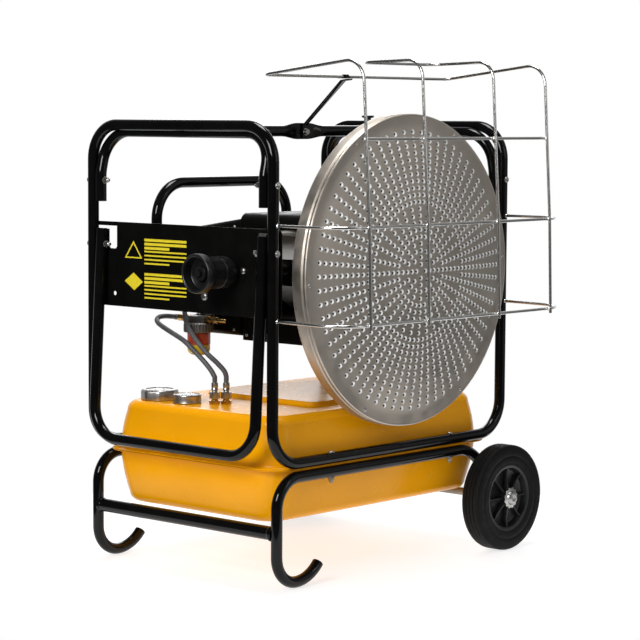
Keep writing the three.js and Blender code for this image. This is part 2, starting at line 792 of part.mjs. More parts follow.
// Flat arm with the trunnion tube and threaded stud that carry the burner in the side panel.
function cradleArm(side) {
  const arm = plate(outline([
    [-255, 645], [262, 645], [262, 663], [-112, 663], [-120, 704], [-160, 704], [-168, 663], [-255, 663],
  ]), ARM_SHEET, FACING_X).translate(ARM_X, 0, 0);
  const outerEnd = PANEL_X - GAP;
  const trunnionStart = ARM_X + ARM_SHEET - 1;
  const trunnion = alongX(rod(15, outerEnd - trunnionStart, 16))
    .translate((outerEnd + trunnionStart) / 2, PIVOT_Y, PIVOT_Z);
  const stud = alongX(rod(6, STUD_END - outerEnd + 2, 10))
    .translate((STUD_END + outerEnd - 2) / 2, PIVOT_Y, PIVOT_Z);
  const whole = join(arm, trunnion, stud);
  return side > 0 ? whole : whole.scale(-1, 1, 1);
}

function tiltKnob(side) {
  const bore = STUD_END + 2 - KNOB_START;
  const knob = alongX(lathe([
    [0, bore], [6.3, bore], [6.3, 0], [29, 0], [29, 11], [35, 14], [35, 78], [43, 83], [43, 101],
    [41, 104.4], [37, 104.4], [35.5, 80], [17.5, 79.4], [16.5, 90], [0, 90],
  ], 24));
  return side > 0 ? knob : knob.scale(-1, 1, 1);
}

function fan() {
  const disc = lathe([[6.4, 4], [16, 4], [16, 24], [88, 24], [88, 26], [6.4, 26], [6.4, 4]], 20);
  const vanes = [];
  for (let k = 0; k < 12; k += 1) {
    vanes.push(block(52, 86, 4, 25, -0.8, 0.8).rotateY((k * Math.PI) / 6));
  }
  return join(disc, ...vanes).translate(0, 16, AXIS_Z);
}

function motor() {
  const can = lathe([[0, 18], [6, 18], [6, 50], [44, 50], [48, 54], [48, 106], [44, 110], [0, 110]], 20)
    .translate(0, 0, AXIS_Z);
  const foot = block(-30, 30, 70, 92, 523 + GAP, 640);
  return join(can, foot);
}

function fuelPump() {
  const body = lathe([[0, 110.3], [30, 110.3], [30, 126], [26, 130], [26, 142], [0, 142]], 16)
    .translate(0, 0, AXIS_Z);
  const block1 = block(-22, 22, 114, 138, AXIS_Z - 42, AXIS_Z + 8);
  return join(body, block1);
}

function filterHead() {
  const [x, y] = FILTER;
  const head = alongZ(lathe([
    [0, 527], [35, 527], [35, 546], [33, 548], [27, 548], [27, 566], [0, 566],
  ], 24)).translate(x, y, 0);
  const inlet = rod(8, 80, 10).translate(x, y + 40, 557);
  const outlet = rod(8, 88, 10).translate(x, y - 44, 557);
  const bracket = block(x, -CASING_X - GAP, y - 16, y + 16, 552, 566);
  return join(head, inlet, outlet, bracket);
}

function filterBowl() {
  return alongZ(lathe([
    [0, 474], [18, 474], [26, 483], [27, 498], [27, 527 - GAP], [0, 527 - GAP],
  ], 20)).translate(...FILTER, 0);
}

add("disc_rim", discRim(), STAINLESS);
add("disc_front_plate", discFrontPlate(), STAINLESS);
add("combustion_chamber", combustionChamber(), STAINLESS);
add("flame_tube", flameTube(), STAINLESS);
add("nozzle_assembly", nozzleAssembly(), BRASS);
add("top_hood", topHood(), BLACK_PAINT);
add("heat_shield", heatShield(), GALVANISED);
add("base_box", baseBox(), BLACK_PAINT);
add("rear_cover", rearCover(), BLACK_PAINT);
add("control_box", controlBox(), BLACK_PLASTIC);
add("rocker_switch", rockerSwitch(), SIGNAL_RED, [-50, 186, 650]);
add("thermostat_dial", thermostatDial(), BLACK_PLASTIC, [40, 186, 640]);
add("handle_loop", handleLoop(), BLACK_PAINT);
add("cradle_arm_left", cradleArm(-1), BLACK_PAINT);
add("cradle_arm_right", cradleArm(1), BLACK_PAINT);
add("tilt_knob_left", tiltKnob(-1), BLACK_PLASTIC, [-KNOB_START, PIVOT_Y, PIVOT_Z]);
add("tilt_knob_right", tiltKnob(1), BLACK_PLASTIC, [KNOB_START, PIVOT_Y, PIVOT_Z]);
add("fan", fan(), ZINC);
add("motor", motor(), CAST_GREY);
add("fuel_pump", fuelPump(), CAST_GREY);
add("filter_head", filterHead(), CAST_GREY);
add("filter_bowl", filterBowl(), FILTER_RED);

// ---------------------------------------------------------------- fuel hoses

// A smooth run through points chosen by hand, stepped every couple of diameters. The first and
// last stretches are straight, square to the fittings.
function hose(points) {
  const curve = new THREE.CatmullRomCurve3(points.slice(1, -1), false, "centripetal");
  const steps = Math.round(curve.getLength() / (2.6 * HOSE_R));
  const route = [points[0], ...curve.getSpacedPoints(steps), points[points.length - 1]];
  return tube(route, HOSE_R, 8);
}

const supplyRoute = [
  V(-232, 187.3, 557), V(-232, 199, 557), V(-236, 211, 557), V(-247, 220, 555.5), V(-260, 216, 550.5),
  V(-270, 203, 545), V(-277, 184, 539), V(-280, 153, 528), V(-280, 106, 509), V(-277, 83, 492),
  V(-271, 56, 469), V(-264, 35, 445), V(-262, 26, 431), V(-262, 26, FITTING_TOP + GAP),
];
const returnRoute = [
  V(-203.6, 125, 614), V(-216, 125, 614), V(-245, 123, 606), V(-265, 117, 590), V(-275, 109, 566),
  V(-276, 97, 541), V(-273, 75, 513), V(-265, 48, 484), V(-253, 25, 461), V(-245, 11, 443),
  V(-243, 8, 432), V(-243, 8, FITTING_TOP + GAP),
];
add("supply_hose", hose(supplyRoute), HOSE_GREY);
add("return_hose", hose(returnRoute), HOSE_GREY);

export default group;
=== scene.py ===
"""Looks for a wheeled kerosene radiant heater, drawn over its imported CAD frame.

Sizes are written in millimetres in the machine's own axes (the middle of the tube frame at floor
level) and P() turns them into metres in the row's frame.
"""
import math

import bmesh
import bpy
from mathutils import Matrix, Vector
from mathutils.geometry import delaunay_2d_cdt


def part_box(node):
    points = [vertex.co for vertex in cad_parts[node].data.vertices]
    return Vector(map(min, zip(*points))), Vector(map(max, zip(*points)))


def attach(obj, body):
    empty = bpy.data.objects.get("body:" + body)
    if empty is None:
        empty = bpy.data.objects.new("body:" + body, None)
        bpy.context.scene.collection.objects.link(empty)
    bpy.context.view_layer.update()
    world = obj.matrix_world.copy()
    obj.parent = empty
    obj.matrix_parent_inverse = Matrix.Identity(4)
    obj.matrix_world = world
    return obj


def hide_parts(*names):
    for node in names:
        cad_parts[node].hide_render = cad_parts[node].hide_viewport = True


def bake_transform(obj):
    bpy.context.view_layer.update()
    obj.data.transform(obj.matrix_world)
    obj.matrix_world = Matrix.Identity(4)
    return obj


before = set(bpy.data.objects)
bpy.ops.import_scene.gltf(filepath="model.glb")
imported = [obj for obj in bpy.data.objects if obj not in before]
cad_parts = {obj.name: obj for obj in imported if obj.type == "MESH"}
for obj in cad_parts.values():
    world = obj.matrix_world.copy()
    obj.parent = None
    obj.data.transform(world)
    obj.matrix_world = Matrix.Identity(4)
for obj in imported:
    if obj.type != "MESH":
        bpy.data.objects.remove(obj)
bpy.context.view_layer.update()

MM = 0.001
CAP_END = 368
SHIFT_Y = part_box("axle_cap_rear")[1].y - CAP_END * MM

SIDES = ((-1, "left"), (1, "right"))
ENDS = ((-1, "front"), (1, "rear"))

TUBE = 12.7
HOOP_X = 398.3
HOOP_Y = 281
HOOP_TOP = 1000.7
HOOP_BOTTOM = 272.6
LOOP_Y = 255.3
UPPER_BAR = (376.8, 986)
LOWER_BAR = (425, 289.9)
LOWER_LOOP_Y = 252.5
RAIL_Z = 987.85
SKID_Y = 282
SKID_BAR_Z = 242.5
SKID_LEG_X = -384.6
CROSSBAR_R = 15.2
CROSSBAR_Z = 125.2
WHEEL = (347.5, 330.1, 125)
TANK_TOP = 370
FITTING_Z = TANK_TOP + 0.3
FILLER = (-290, 176)
GAUGE = (-294, 82)
SUPPLY_PORT = (-262, 26)
RETURN_PORT = (-243, 8)
AXIS_Z = 679
DISC_FRONT = -330.3
DOME_RISE = 31
DOME_R = 325
RIM_SIDES = 192
DRUM_R = 107
PIVOT = (-140, 685)
FILTER = (-232, 107)
FILTER_PORT_Z = 557
HANDLE_X = 223
PANEL_FACE = 385.3
HOSE_R = 5.75
WIRE = 3.4
GUARD_X = 317
GUARD_INNER_X = 124
GUARD_TOP_Z = 975


def P(x, y, z):
    return Vector((x * MM, y * MM + SHIFT_Y, z * MM))


def turns(count, start=0.0):
    """Evenly spaced angles round a full circle."""
    return [start + 2 * math.pi * k / count for k in range(count)]


def circle(radius, count, u=0.0, v=0.0, start=0.0):
    """Points evenly spaced round (u, v)."""
    return [(u + radius * math.cos(a), v + radius * math.sin(a)) for a in turns(count, start)]


def into_scene(name, data):
    made = bpy.data.objects.new(name, data)
    bpy.context.scene.collection.objects.link(made)
    return made


# ---------- shader nodes

# The colour sockets of a Mix node, whose names it shares with its number and vector sockets.
COLOUR_A, COLOUR_B, COLOUR_RESULT = 6, 7, 2


def set_inputs(tree, node, inputs):
    """Each value is a number, colour or vector, or a socket to link from."""
    for key, value in inputs.items():
        if isinstance(value, bpy.types.NodeSocket):
            tree.links.new(value, node.inputs[key])
        else:
            node.inputs[key].default_value = value


def add_node(tree, kind, inputs, operation=None):
    node = tree.nodes.new(kind)
    if operation:
        node.operation = operation
    set_inputs(tree, node, inputs)
    return node


def combine(tree, operation, first, second):
    return add_node(tree, "ShaderNodeMath", {0: first, 1: second}, operation).outputs[0]


def remap(tree, value, low, high, start=0.3, end=0.7):
    return add_node(tree, "ShaderNodeMapRange", {
        "Value": value, "From Min": start, "From Max": end, "To Min": low, "To Max": high,
    }).outputs["Result"]


def noise(tree, coords, scale, detail, stretch=(1, 1, 1)):
    """A noise texture over object coordinates, optionally stretched along an axis."""
    mapping = add_node(tree, "ShaderNodeMapping", {"Vector": coords, "Scale": stretch})
    inputs = {"Vector": mapping.outputs["Vector"], "Scale": scale, "Detail": detail}
    return add_node(tree, "ShaderNodeTexNoise", inputs).outputs["Fac"]


def blend_colour(tree, factor, first, second):
    """first and second are colours or colour sockets."""
    node = tree.nodes.new("ShaderNodeMix")
    node.data_type = "RGBA"
    set_inputs(tree, node, {"Factor": factor, COLOUR_A: first, COLOUR_B: second})
    return node.outputs[COLOUR_RESULT]


# ---------- camera, floor and light

def look():
    yaw = math.radians(48.13)
    pitch = math.radians(5.08)
    roll = math.radians(0.34)
    place = P(-3939.2, -3589.5, 1020.6)
    forward = Vector((math.sin(yaw) * math.cos(pitch), math.cos(yaw) * math.cos(pitch), -math.sin(pitch)))
    right = Vector((math.cos(yaw), -math.sin(yaw), 0))
    down = forward.cross(right)
    turned = math.cos(roll) * right - math.sin(roll) * down
    up = -(math.sin(roll) * right + math.cos(roll) * down)
    turn = Matrix((turned, up, -forward)).transposed().to_4x4()
    data = bpy.data.cameras.new("photo_camera")
    data.sensor_width = 36
    data.lens = 128.5
    data.clip_end = 60
    camera = into_scene("photo_camera", data)
    camera.matrix_world = Matrix.Translation(place) @ turn
    bpy.context.scene.camera = camera


def area_light(name, place, target, size, power):
    data = bpy.data.lights.new(name, "AREA")
    data.shape = "RECTANGLE"
    data.size, data.size_y = size
    data.energy = power
    lamp = into_scene(name, data)
    lamp.location = place
    aim = Vector(target) - Vector(place)
    lamp.rotation_euler = aim.to_track_quat("-Z", "Y").to_euler()


def studio():
    area_light("key_softbox", (-3.65, -0.85, 2.2), (0, 0, 0.5), (1.3, 1.3), 92)
    area_light("front_strip", (0.7, -3.4, 1.9), (0, 0, 0.6), (0.5, 1.6), 6)
    area_light("overhead", (0.1, 0.1, 3.2), (0, 0, 0.5), (1.1, 1.1), 52)
    area_light("rear_fill", (2.4, 2.6, 2.0), (0, 0, 0.5), (1.4, 1.4), 22)
    surroundings()
    reach = 1.05
    sides = 96
    mesh = bpy.data.meshes.new("studio_floor")
    mesh.from_pydata([(x, y, -0.0005) for x, y in circle(reach, sides)], [], [list(range(sides))])
    floor = into_scene("studio_floor", mesh)
    pale = bpy.data.materials.new("pale_floor")
    pale.use_nodes = True
    set_inputs(pale.node_tree, pale.node_tree.nodes["Principled BSDF"], {
        "Base Color": (0.42, 0.42, 0.42, 1), "Roughness": 0.8,
        "Emission Color": (1, 1, 1, 1), "Emission Strength": 0.72,
    })
    mesh.materials.append(pale)
    bpy.context.scene.view_settings.view_transform = "Standard"


def surroundings():
    """White to the camera; to the object a dim room with a bright back wall and one reflector."""
    world = bpy.data.worlds.new("white_studio")
    bpy.context.scene.world = world
    world.use_nodes = True
    tree = world.node_tree
    tree.nodes.clear()
    direction = add_node(tree, "ShaderNodeTexCoord", {}).outputs["Generated"]
    rays = add_node(tree, "ShaderNodeLightPath", {}).outputs
    glossy = rays["Is Glossy Ray"]

    def towards(aim):
        node = add_node(tree, "ShaderNodeVectorMath", {0: direction, 1: aim}, "DOT_PRODUCT")
        return node.outputs["Value"]

    back_wall = remap(tree, towards((0.745, 0.667, 0)), 0, 0.85, 0.45, 0.85)
    reflector = remap(tree, towards((0.44, -0.83, 0.34)), 0, 0.5, 0.8, 0.98)
    reflector = combine(tree, "MULTIPLY", reflector, glossy)
    room = combine(tree, "ADD", remap(tree, glossy, 0.3, 0.07, 0, 1), reflector)
    strength = combine(tree, "ADD", back_wall, room)
    lit = add_node(tree, "ShaderNodeBackground", {"Color": (0.98, 0.99, 1, 1), "Strength": strength})
    seen = add_node(tree, "ShaderNodeBackground", {"Color": (1, 1, 1, 1)})
    mix = add_node(tree, "ShaderNodeMixShader", {
        0: rays["Is Camera Ray"], 1: lit.outputs[0], 2: seen.outputs[0],
    })
    add_node(tree, "ShaderNodeOutputWorld", {"Surface": mix.outputs[0]})


# ---------- materials

DUST = (0.55, 0.52, 0.47)


def shade(colour, by=1.0):
    """A colour made lighter or darker, as a socket takes it."""
    return (*(min(1, channel * by) for channel in colour), 1)


def material(name, colour, rough, tint, metal=0.0, coat=0.0, tint_scale=5.0, rough_spread=0.06,
             streaks=None, grain=300, depth=0.02, wear=None, dust=0.0, specks=None, ior=1.5, clear=0.0,
             gloss_level=0.5):
    """A procedural surface: broad tint, uneven gloss, streaks or grain, worn edges, dust and specks.
    """
    made = bpy.data.materials.new(name)
    made.use_nodes = True
    tree = made.node_tree
    coords = add_node(tree, "ShaderNodeTexCoord", {}).outputs["Object"]
    broad = noise(tree, coords, tint_scale, 4)
    result = blend_colour(tree, remap(tree, broad, 0, 1), shade(colour, 1 - tint), shade(colour, 1 + tint))
    gloss = remap(tree, noise(tree, coords, tint_scale * 7, 5), rough - rough_spread, rough + rough_spread)
    if streaks:
        height = noise(tree, coords, 60, 4, streaks)
        result = blend_colour(tree, remap(tree, height, 0, 0.5), result, shade(colour, 0.72))
        gloss = combine(tree, "ADD", gloss, remap(tree, height, -0.07, 0.07))
    else:
        height = noise(tree, coords, grain, 2)
    if specks:
        spot = remap(tree, noise(tree, coords, 900, 1), 0, 0.8, 0.66, 0.7)
        result = blend_colour(tree, spot, result, shade(specks))
    if dust:
        film = remap(tree, noise(tree, coords, 24, 6), 0, dust, 0.45, 0.75)
        result = blend_colour(tree, film, result, shade(DUST))
    if wear:
        edge = add_node(tree, "ShaderNodeNewGeometry", {}).outputs["Pointiness"]
        result = blend_colour(tree, remap(tree, edge, 0, 0.7, 0.53, 0.6), result, shade(wear))
    bump = add_node(tree, "ShaderNodeBump", {"Distance": depth * MM, "Strength": 1, "Height": height})
    set_inputs(tree, tree.nodes["Principled BSDF"], {
        "Base Color": result, "Roughness": gloss, "Normal": bump.outputs["Normal"], "Metallic": metal,
        "Coat Weight": coat, "Coat Roughness": 0.06, "IOR": ior, "Specular IOR Level": gloss_level,
        "Transmission Weight": clear,
    })
    return made


BLACK = material("black_powder_coat", (0.002, 0.002, 0.0022), 0.09, tint=0.3,
                 rough_spread=0.04, grain=420, depth=0.008, dust=0.003, gloss_level=0.26)
BLACK_SHEET = material("black_sheet", (0.003, 0.0028, 0.0026), 0.4, tint=0.3,
                       rough_spread=0.08, grain=500, depth=0.015, dust=0.003, gloss_level=0.08)
ORANGE = material("orange_enamel", (0.92, 0.385, 0.0006), 0.24, tint=0.05,
                  rough_spread=0.05, grain=140, gloss_level=0.22)
STEEL = material("warm_stainless", (0.54, 0.487, 0.425), 0.46, metal=1, tint=0.14,
                 rough_spread=0.09, grain=900, depth=0.004)
# Near-white dimple walls: a painted highlight standing in for the glints on the punched lips.
DIMPLE_PAINTED_HIGHLIGHT = material("dimple_wall_painted_highlight", (0.97, 0.96, 0.94), 0.34, metal=0.1, tint=0.05,
                        tint_scale=40, grain=900, depth=0.002)
# Near-black hole walls: painted shade down inside each hole.
HOLE_PAINTED_SHADE = material("hole_wall_painted_shade", (0.035, 0.028, 0.022), 0.5, metal=0.6, tint=0.2,
                        tint_scale=40, grain=900, depth=0.004)
DRUM_STEEL = material("drawn_stainless", (0.78, 0.76, 0.74), 0.45, metal=0.25, tint=0.06,
                      streaks=(1, 0.03, 1), depth=0.01)
CHROME = material("bright_wire", (0.68, 0.67, 0.65), 0.2, metal=1, tint=0.06,
                  tint_scale=20, rough_spread=0.03, grain=900, depth=0.002)
BRIGHT = material("satin_chrome", (0.5, 0.49, 0.475), 0.38, metal=1, tint=0.06,
                  tint_scale=30, rough_spread=0.04, grain=600, depth=0.002)
ZINC = material("zinc_plate", (0.46, 0.45, 0.43), 0.34, metal=1, tint=0.18, tint_scale=60,
                grain=900, depth=0.01)
GALVANISED = material("galvanised", (0.5, 0.46, 0.39), 0.42, metal=1, tint=0.2,
                      tint_scale=30)
BRASS = material("brass", (0.62, 0.4, 0.14), 0.27, metal=1, tint=0.14, tint_scale=50,
                 grain=800, depth=0.01)
CAST = material("cast_metal", (0.2, 0.19, 0.18), 0.5, metal=0.8, tint=0.18, tint_scale=40,
                grain=500, depth=0.08, wear=(0.4, 0.38, 0.35))
PLASTIC = material("black_plastic", (0.007, 0.007, 0.0075), 0.34, tint=0.25,
                   grain=1200, depth=0.03, dust=0.012, gloss_level=0.4)
TYRE = material("tyre_rubber", (0.0045, 0.0044, 0.0045), 0.6, tint=0.25, tint_scale=12,
                grain=900, depth=0.06, dust=0.003, gloss_level=0.14)
HOSE = material("hose_cover", (0.085, 0.083, 0.09), 0.46, tint=0.2, tint_scale=30, grain=1500,
                depth=0.1, specks=(0.2, 0.2, 0.21))
RED_BOWL = material("red_bowl", (0.42, 0.05, 0.015), 0.16, coat=0.4, tint=0.2,
                    tint_scale=40, grain=200)
YELLOW_BASE = material("yellow_base", (0.72, 0.5, 0.02), 0.3, coat=0.3, tint=0.15,
                       tint_scale=60)
YELLOW_INK = material("yellow_ink", (0.82, 0.66, 0.02), 0.4, tint=0.06, tint_scale=80, grain=900,
                      depth=0.01)
SIGNAL_RED = material("signal_red", (0.5, 0.02, 0.012), 0.3, coat=0.3, tint=0.1,
                      grain=500, depth=0.01)
# Near-black liner behind the holes: painted shade seen through them, not the liner's own colour.
LINER_PAINTED_SHADE = material("ceramic_liner_painted_shade", (0.06, 0.05, 0.045), 0.9, tint=0.1, tint_scale=60,
                 grain=700, depth=0.3)
GLASS = material("gauge_glass", (0.95, 0.97, 0.97), 0.04, tint=0.02, rough_spread=0.02,
                 grain=200, depth=0.002, clear=1.0, ior=1.3)
DIAL_WHITE = material("dial_white", (0.8, 0.8, 0.77), 0.4, tint=0.05, tint_scale=60,
                      grain=900, depth=0.01)
AXLE = material("axle_steel", (0.3, 0.27, 0.23), 0.4, metal=0.9, tint=0.2, tint_scale=30,
                streaks=(1, 0.05, 1))


# ---------- shapes

def rounded(corners, steps=14):
    """Straight runs between corners, with an arc of the given radius at each corner."""
    points = [Vector(corners[0][0])]
    for k in range(1, len(corners) - 1):
        corner, radius = Vector(corners[k][0]), corners[k][1]
        into = (corner - Vector(corners[k - 1][0])).normalized()
        out = (Vector(corners[k + 1][0]) - corner).normalized()
        turn = into.angle(out)
        start = corner - into * radius * math.tan(turn / 2)
        axis = into.cross(out).normalized()
        centre = start + axis.cross(into) * radius
        for step in range(steps + 1):
            points.append(Matrix.Rotation(turn * step / steps, 3, axis) @ (start - centre) + centre)
    points.append(Vector(corners[-1][0]))
    return points


def arc(y, centre_x, centre_z, radius, start, end, steps):
    points = []
    for step in range(steps + 1):
        angle = math.radians(start + (end - start) * step / steps)
        points.append(Vector((centre_x + radius * math.cos(angle), y, centre_z + radius * math.sin(angle))))
    return points


def catmull(points, spacing):
    """A centripetal Catmull-Rom curve through points, sampled at an even spacing."""
    points = [Vector(p) for p in points]
    knots = [points[0] * 2 - points[1], *points, points[-1] * 2 - points[-2]]
    fine = []
    for k in range(len(points) - 1):
        p = knots[k:k + 4]
        t = [0.0]
        for a, b in zip(p, p[1:]):
            t.append(t[-1] + max((b - a).length, 1e-6) ** 0.5)
        for step in range(24):
            s = t[1] + (t[2] - t[1]) * step / 24
            a = [p[j] * ((t[j + 1] - s) / (t[j + 1] - t[j])) + p[j + 1] * ((s - t[j]) / (t[j + 1] - t[j]))
                 for j in range(3)]
            b = [a[j] * ((t[j + 2] - s) / (t[j + 2] - t[j])) + a[j + 1] * ((s - t[j]) / (t[j + 2] - t[j]))
                 for j in range(2)]
            fine.append(b[0] * ((t[2] - s) / (t[2] - t[1])) + b[1] * ((s - t[1]) / (t[2] - t[1])))
    fine.append(points[-1])
    lengths = [0.0]
    for a, b in zip(fine, fine[1:]):
        lengths.append(lengths[-1] + (b - a).length)
    count = max(2, round(lengths[-1] / spacing))
    even = []
    k = 0
    for step in range(count + 1):
        goal = lengths[-1] * step / count
        while k < len(fine) - 2 and lengths[k + 1] < goal:
            k += 1
        share = (goal - lengths[k]) / max(lengths[k + 1] - lengths[k], 1e-9)
        even.append(fine[k].lerp(fine[k + 1], min(share, 1)))
    return even


def frames_along(points):
    """(point, normal, binormal) along a path, turning as little as possible."""
    count = len(points)
    tangents = []
    for k in range(count):
        before = points[k] - points[k - 1] if k else points[1] - points[0]
        after = points[k + 1] - points[k] if k < count - 1 else points[-1] - points[-2]
        tangents.append((before.normalized() + after.normalized()).normalized())
    normal = tangents[0].orthogonal().normalized()
    result = []
    for k in range(count):
        if k:
            normal = tangents[k - 1].rotation_difference(tangents[k]) @ normal
        normal = (normal - tangents[k] * normal.dot(tangents[k])).normalized()
        result.append((points[k], normal, tangents[k].cross(normal)))
    return result


def rounded_rectangle(half_x, half_y, radius, steps):
    pairs = []
    for quarter, (sign_x, sign_y) in enumerate(((1, 1), (-1, 1), (-1, -1), (1, -1))):
        for step in range(steps + 1):
            angle = (quarter + step / steps) * math.pi / 2
            pairs.append((sign_x * (half_x - radius) + radius * math.cos(angle),
                          sign_y * (half_y - radius) + radius * math.sin(angle)))
    return pairs


AXES = {
    "X": lambda u, v, t: (t, u, v),
    "Y": lambda u, v, t: (v, t, u),
    "Z": lambda u, v, t: (u, v, t),
}


def dressed(mesh, paints, body=None, node=None):
    """An object of the mesh's name and materials, riding on a body and standing for a CAD node."""
    for paint in paints:
        mesh.materials.append(paint)
    made = into_scene(mesh.name, mesh)
    if body:
        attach(made, body)
    if node:
        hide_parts(node)
    return made


def smoothed(work, mesh, sharp):
    """Puts a bmesh into a mesh, smooth shaded but for its edges over an angle."""
    work.to_mesh(mesh)
    work.free()
    mesh.shade_smooth()
    mesh.set_sharp_from_angle(angle=math.radians(sharp))
    return mesh


class Shape:
    """Closed skins in machine millimetres, gathered and made into one piece."""

    def __init__(self):
        self.verts = []
        self.faces = []

    def skin(self, rings, looped=False):
        base = len(self.verts)
        count = len(rings[0])
        self.verts += [P(*v) for ring in rings for v in ring]
        starts = [base + k * count for k in range(len(rings))]
        for here, there in zip(starts, starts[1:] + starts[:1] if looped else starts[1:]):
            for k in range(count):
                after = (k + 1) % count
                self.faces.append([here + k, here + after, there + after, there + k])
        if not looped:
            self.faces.append([base + k for k in reversed(range(count))])
            self.faces.append([starts[-1] + k for k in range(count)])
        return self

    def lathe(self, profile, at, axis="Z", segments=64, shape=None, way=1):
        """profile holds (radius, distance from at); shape(angle, index) scales a radius."""
        looped = profile[0] == profile[-1]
        rings = []
        for index, (radius, along) in enumerate(profile[:-1] if looped else profile):
            ring = []
            for angle in turns(segments):
                r = max(radius, 0.02) * (shape(angle, index) if shape else 1)
                x, y, z = AXES[axis](r * math.cos(angle), r * math.sin(angle), way * along)
                ring.append((at[0] + x, at[1] + y, at[2] + z))
            rings.append(ring)
        return self.skin(rings, looped)

    def tube(self, points, radius, sides, bore=0.0, ease=0.6):
        """A round tube with eased ends; with a bore its ends are open to a blind depth."""
        along = frames_along([Vector(p) for p in points])
        first = (along[0][0] - along[1][0]).normalized()
        last = (along[-1][0] - along[-2][0]).normalized()
        blind = 22

        def ring(at, r, shift=Vector((0, 0, 0))):
            point, normal, binormal = along[at]
            return [point + shift + normal * r * math.cos(a) + binormal * r * math.sin(a)
                    for a in turns(sides)]

        rings = []
        if bore:
            rings += [ring(0, bore, -first * blind), ring(0, bore)]
        rings += [ring(0, radius - ease), ring(0, radius, -first * ease)]
        rings += [ring(k, radius) for k in range(1, len(along) - 1)]
        rings += [ring(-1, radius, -last * ease), ring(-1, radius - ease)]
        if bore:
            rings += [ring(-1, bore), ring(-1, bore, -last * blind)]
        return self.skin(rings)

    def slab(self, one, other, corner, edge, axis="Z"):
        """A block between two corners, rounded round an axis and eased at its two ends."""
        low, high = zip(*map(sorted, zip(one, other)))
        u, v, t = {"X": (1, 2, 0), "Y": (2, 0, 1), "Z": (0, 1, 2)}[axis]
        half_u = (high[u] - low[u]) / 2
        half_v = (high[v] - low[v]) / 2
        corner = min(corner, half_u * 0.98, half_v * 0.98)
        rings = []
        for inset, along in ((edge, low[t]), (0, low[t] + edge), (0, high[t] - edge), (edge, high[t])):
            ring = []
            for a, b in rounded_rectangle(half_u - inset, half_v - inset, max(corner - inset, 0.1), 6):
                point = [0, 0, 0]
                point[u] = (high[u] + low[u]) / 2 + a
                point[v] = (high[v] + low[v]) / 2 + b
                point[t] = along
                ring.append(point)
            rings.append(ring)
        return self.skin(rings)

    def hexagon(self, at, axis, across, start, end, way=1):
        """A hexagonal nut or head between two distances from at."""
        corner = math.pi / 6
        ease = 0.9
        half = across / 2

        def shape(angle, index):
            sharp = 1 / math.cos((angle + corner) % (math.pi / 3) - corner)
            return min(sharp, 1.04) if index in (0, 3) else sharp

        profile = [(half, start), (half, start + ease), (half, end - ease), (half, end)]
        return self.lathe(profile, at, axis, 48, shape, way)

    def bolt(self, at, axis, way, across, washer, tail=0):
        """A washer, a hexagon head and perhaps a thread end, growing along way from at."""
        self.lathe([(0, 0), (washer, 0), (washer, 1.4), (0, 1.6)], at, axis, 32, way=way)
        self.hexagon(at, axis, across, 1.6, 8.4, way)
        if tail:
            thread = [(0, 8)]
            for k in range(tail):
                thread += [(3.6, 8.4 + k), (4, 8.9 + k)]
            self.lathe(thread + [(3.2, 9 + tail), (0, 9 + tail)], at, axis, 20, way=way)

    def dome(self, at, axis, way, radius, height):
        """A round headed screw or rivet with a flat flange."""
        rim = [(0, 0), (radius, 0), (radius, height * 0.25)]
        curve = [(radius * 0.92 * math.cos(a), height * (0.25 + 0.75 * math.sin(a)))
                 for a in (math.pi / 2 * k / 6 for k in range(7))]
        self.lathe(rim + curve, at, axis, 32, way=way)

    def make(self, name, paint, body=None, node=None, sharp=38):
        mesh = bpy.data.meshes.new(name)
        mesh.from_pydata(self.verts, [], self.faces)
        work = bmesh.new()
        work.from_mesh(mesh)
        bmesh.ops.recalc_face_normals(work, faces=work.faces)
        return dressed(smoothed(work, mesh, sharp), [paint], body, node)


def refine(node, paint, bevel, body="frame"):
    """A copy of a CAD node's mesh with its flats cleaned and its sharp edges eased."""
    work = bmesh.new()
    work.from_mesh(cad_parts[node].data)
    bmesh.ops.remove_doubles(work, verts=work.verts, dist=1e-6)
    bmesh.ops.dissolve_limit(work, angle_limit=math.radians(2), verts=work.verts, edges=work.edges)
    fold = math.radians(30)
    folds = [e for e in work.edges if len(e.link_faces) == 2 and e.calc_face_angle(0) > fold]
    bmesh.ops.bevel(work, geom=folds, offset=bevel * MM, segments=2, profile=0.6, affect="EDGES",
                    clamp_overlap=True)
    dressed(smoothed(work, bpy.data.meshes.new(node + "_eased"), 40), [paint], body, node)


def repaint(node, paint):
    """A CAD node that stays as it is, with a finished material."""
    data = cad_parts[node].data
    data.materials.clear()
    data.materials.append(paint)


def both(points, axis=0):
    """A half outline and its mirror image along X (0) or Y (1), as one run."""
    mirrored = []
    for point, *bend in reversed(points):
        point = list(point)
        point[axis] = -point[axis]
        mirrored.append((point, *bend))
    return points + mirrored


def black_tube(name, node, route, body="frame", bore=0.0, ease=0.6):
    Shape().tube(route, TUBE, 40, bore, ease).make(name, BLACK, body, node)


# ---------- tube frame

def tube_frame():
    for side, label in SIDES:
        x = side * HOOP_X
        splice = 16.85 if side < 0 else 17.15
        hoop = [((splice, -HOOP_Y, HOOP_BOTTOM),), ((x, -HOOP_Y, HOOP_BOTTOM), 80),
                ((x, -HOOP_Y, HOOP_TOP), 78)]
        black_tube(f"hoop_{label}", f"frame_hoop_{label}", rounded(both(hoop, 1)), ease=0.9)
        bar_x, bar_z = side * UPPER_BAR[0], UPPER_BAR[1]
        upper = [((x, -LOOP_Y, 827),), ((x, -LOOP_Y, 893), 90), ((bar_x, -LOOP_Y, bar_z), 70)]
        black_tube(f"inner_loop_{label}", f"upper_loop_{label}", rounded(both(upper, 1)), bore=11)
    far, low = LOWER_BAR
    lower = [((-HOOP_X, -LOWER_LOOP_Y, 766),), ((-far, -LOWER_LOOP_Y, low), 75)]
    black_tube("end_loop", "lower_loop", rounded(both(lower, 1)), bore=11)


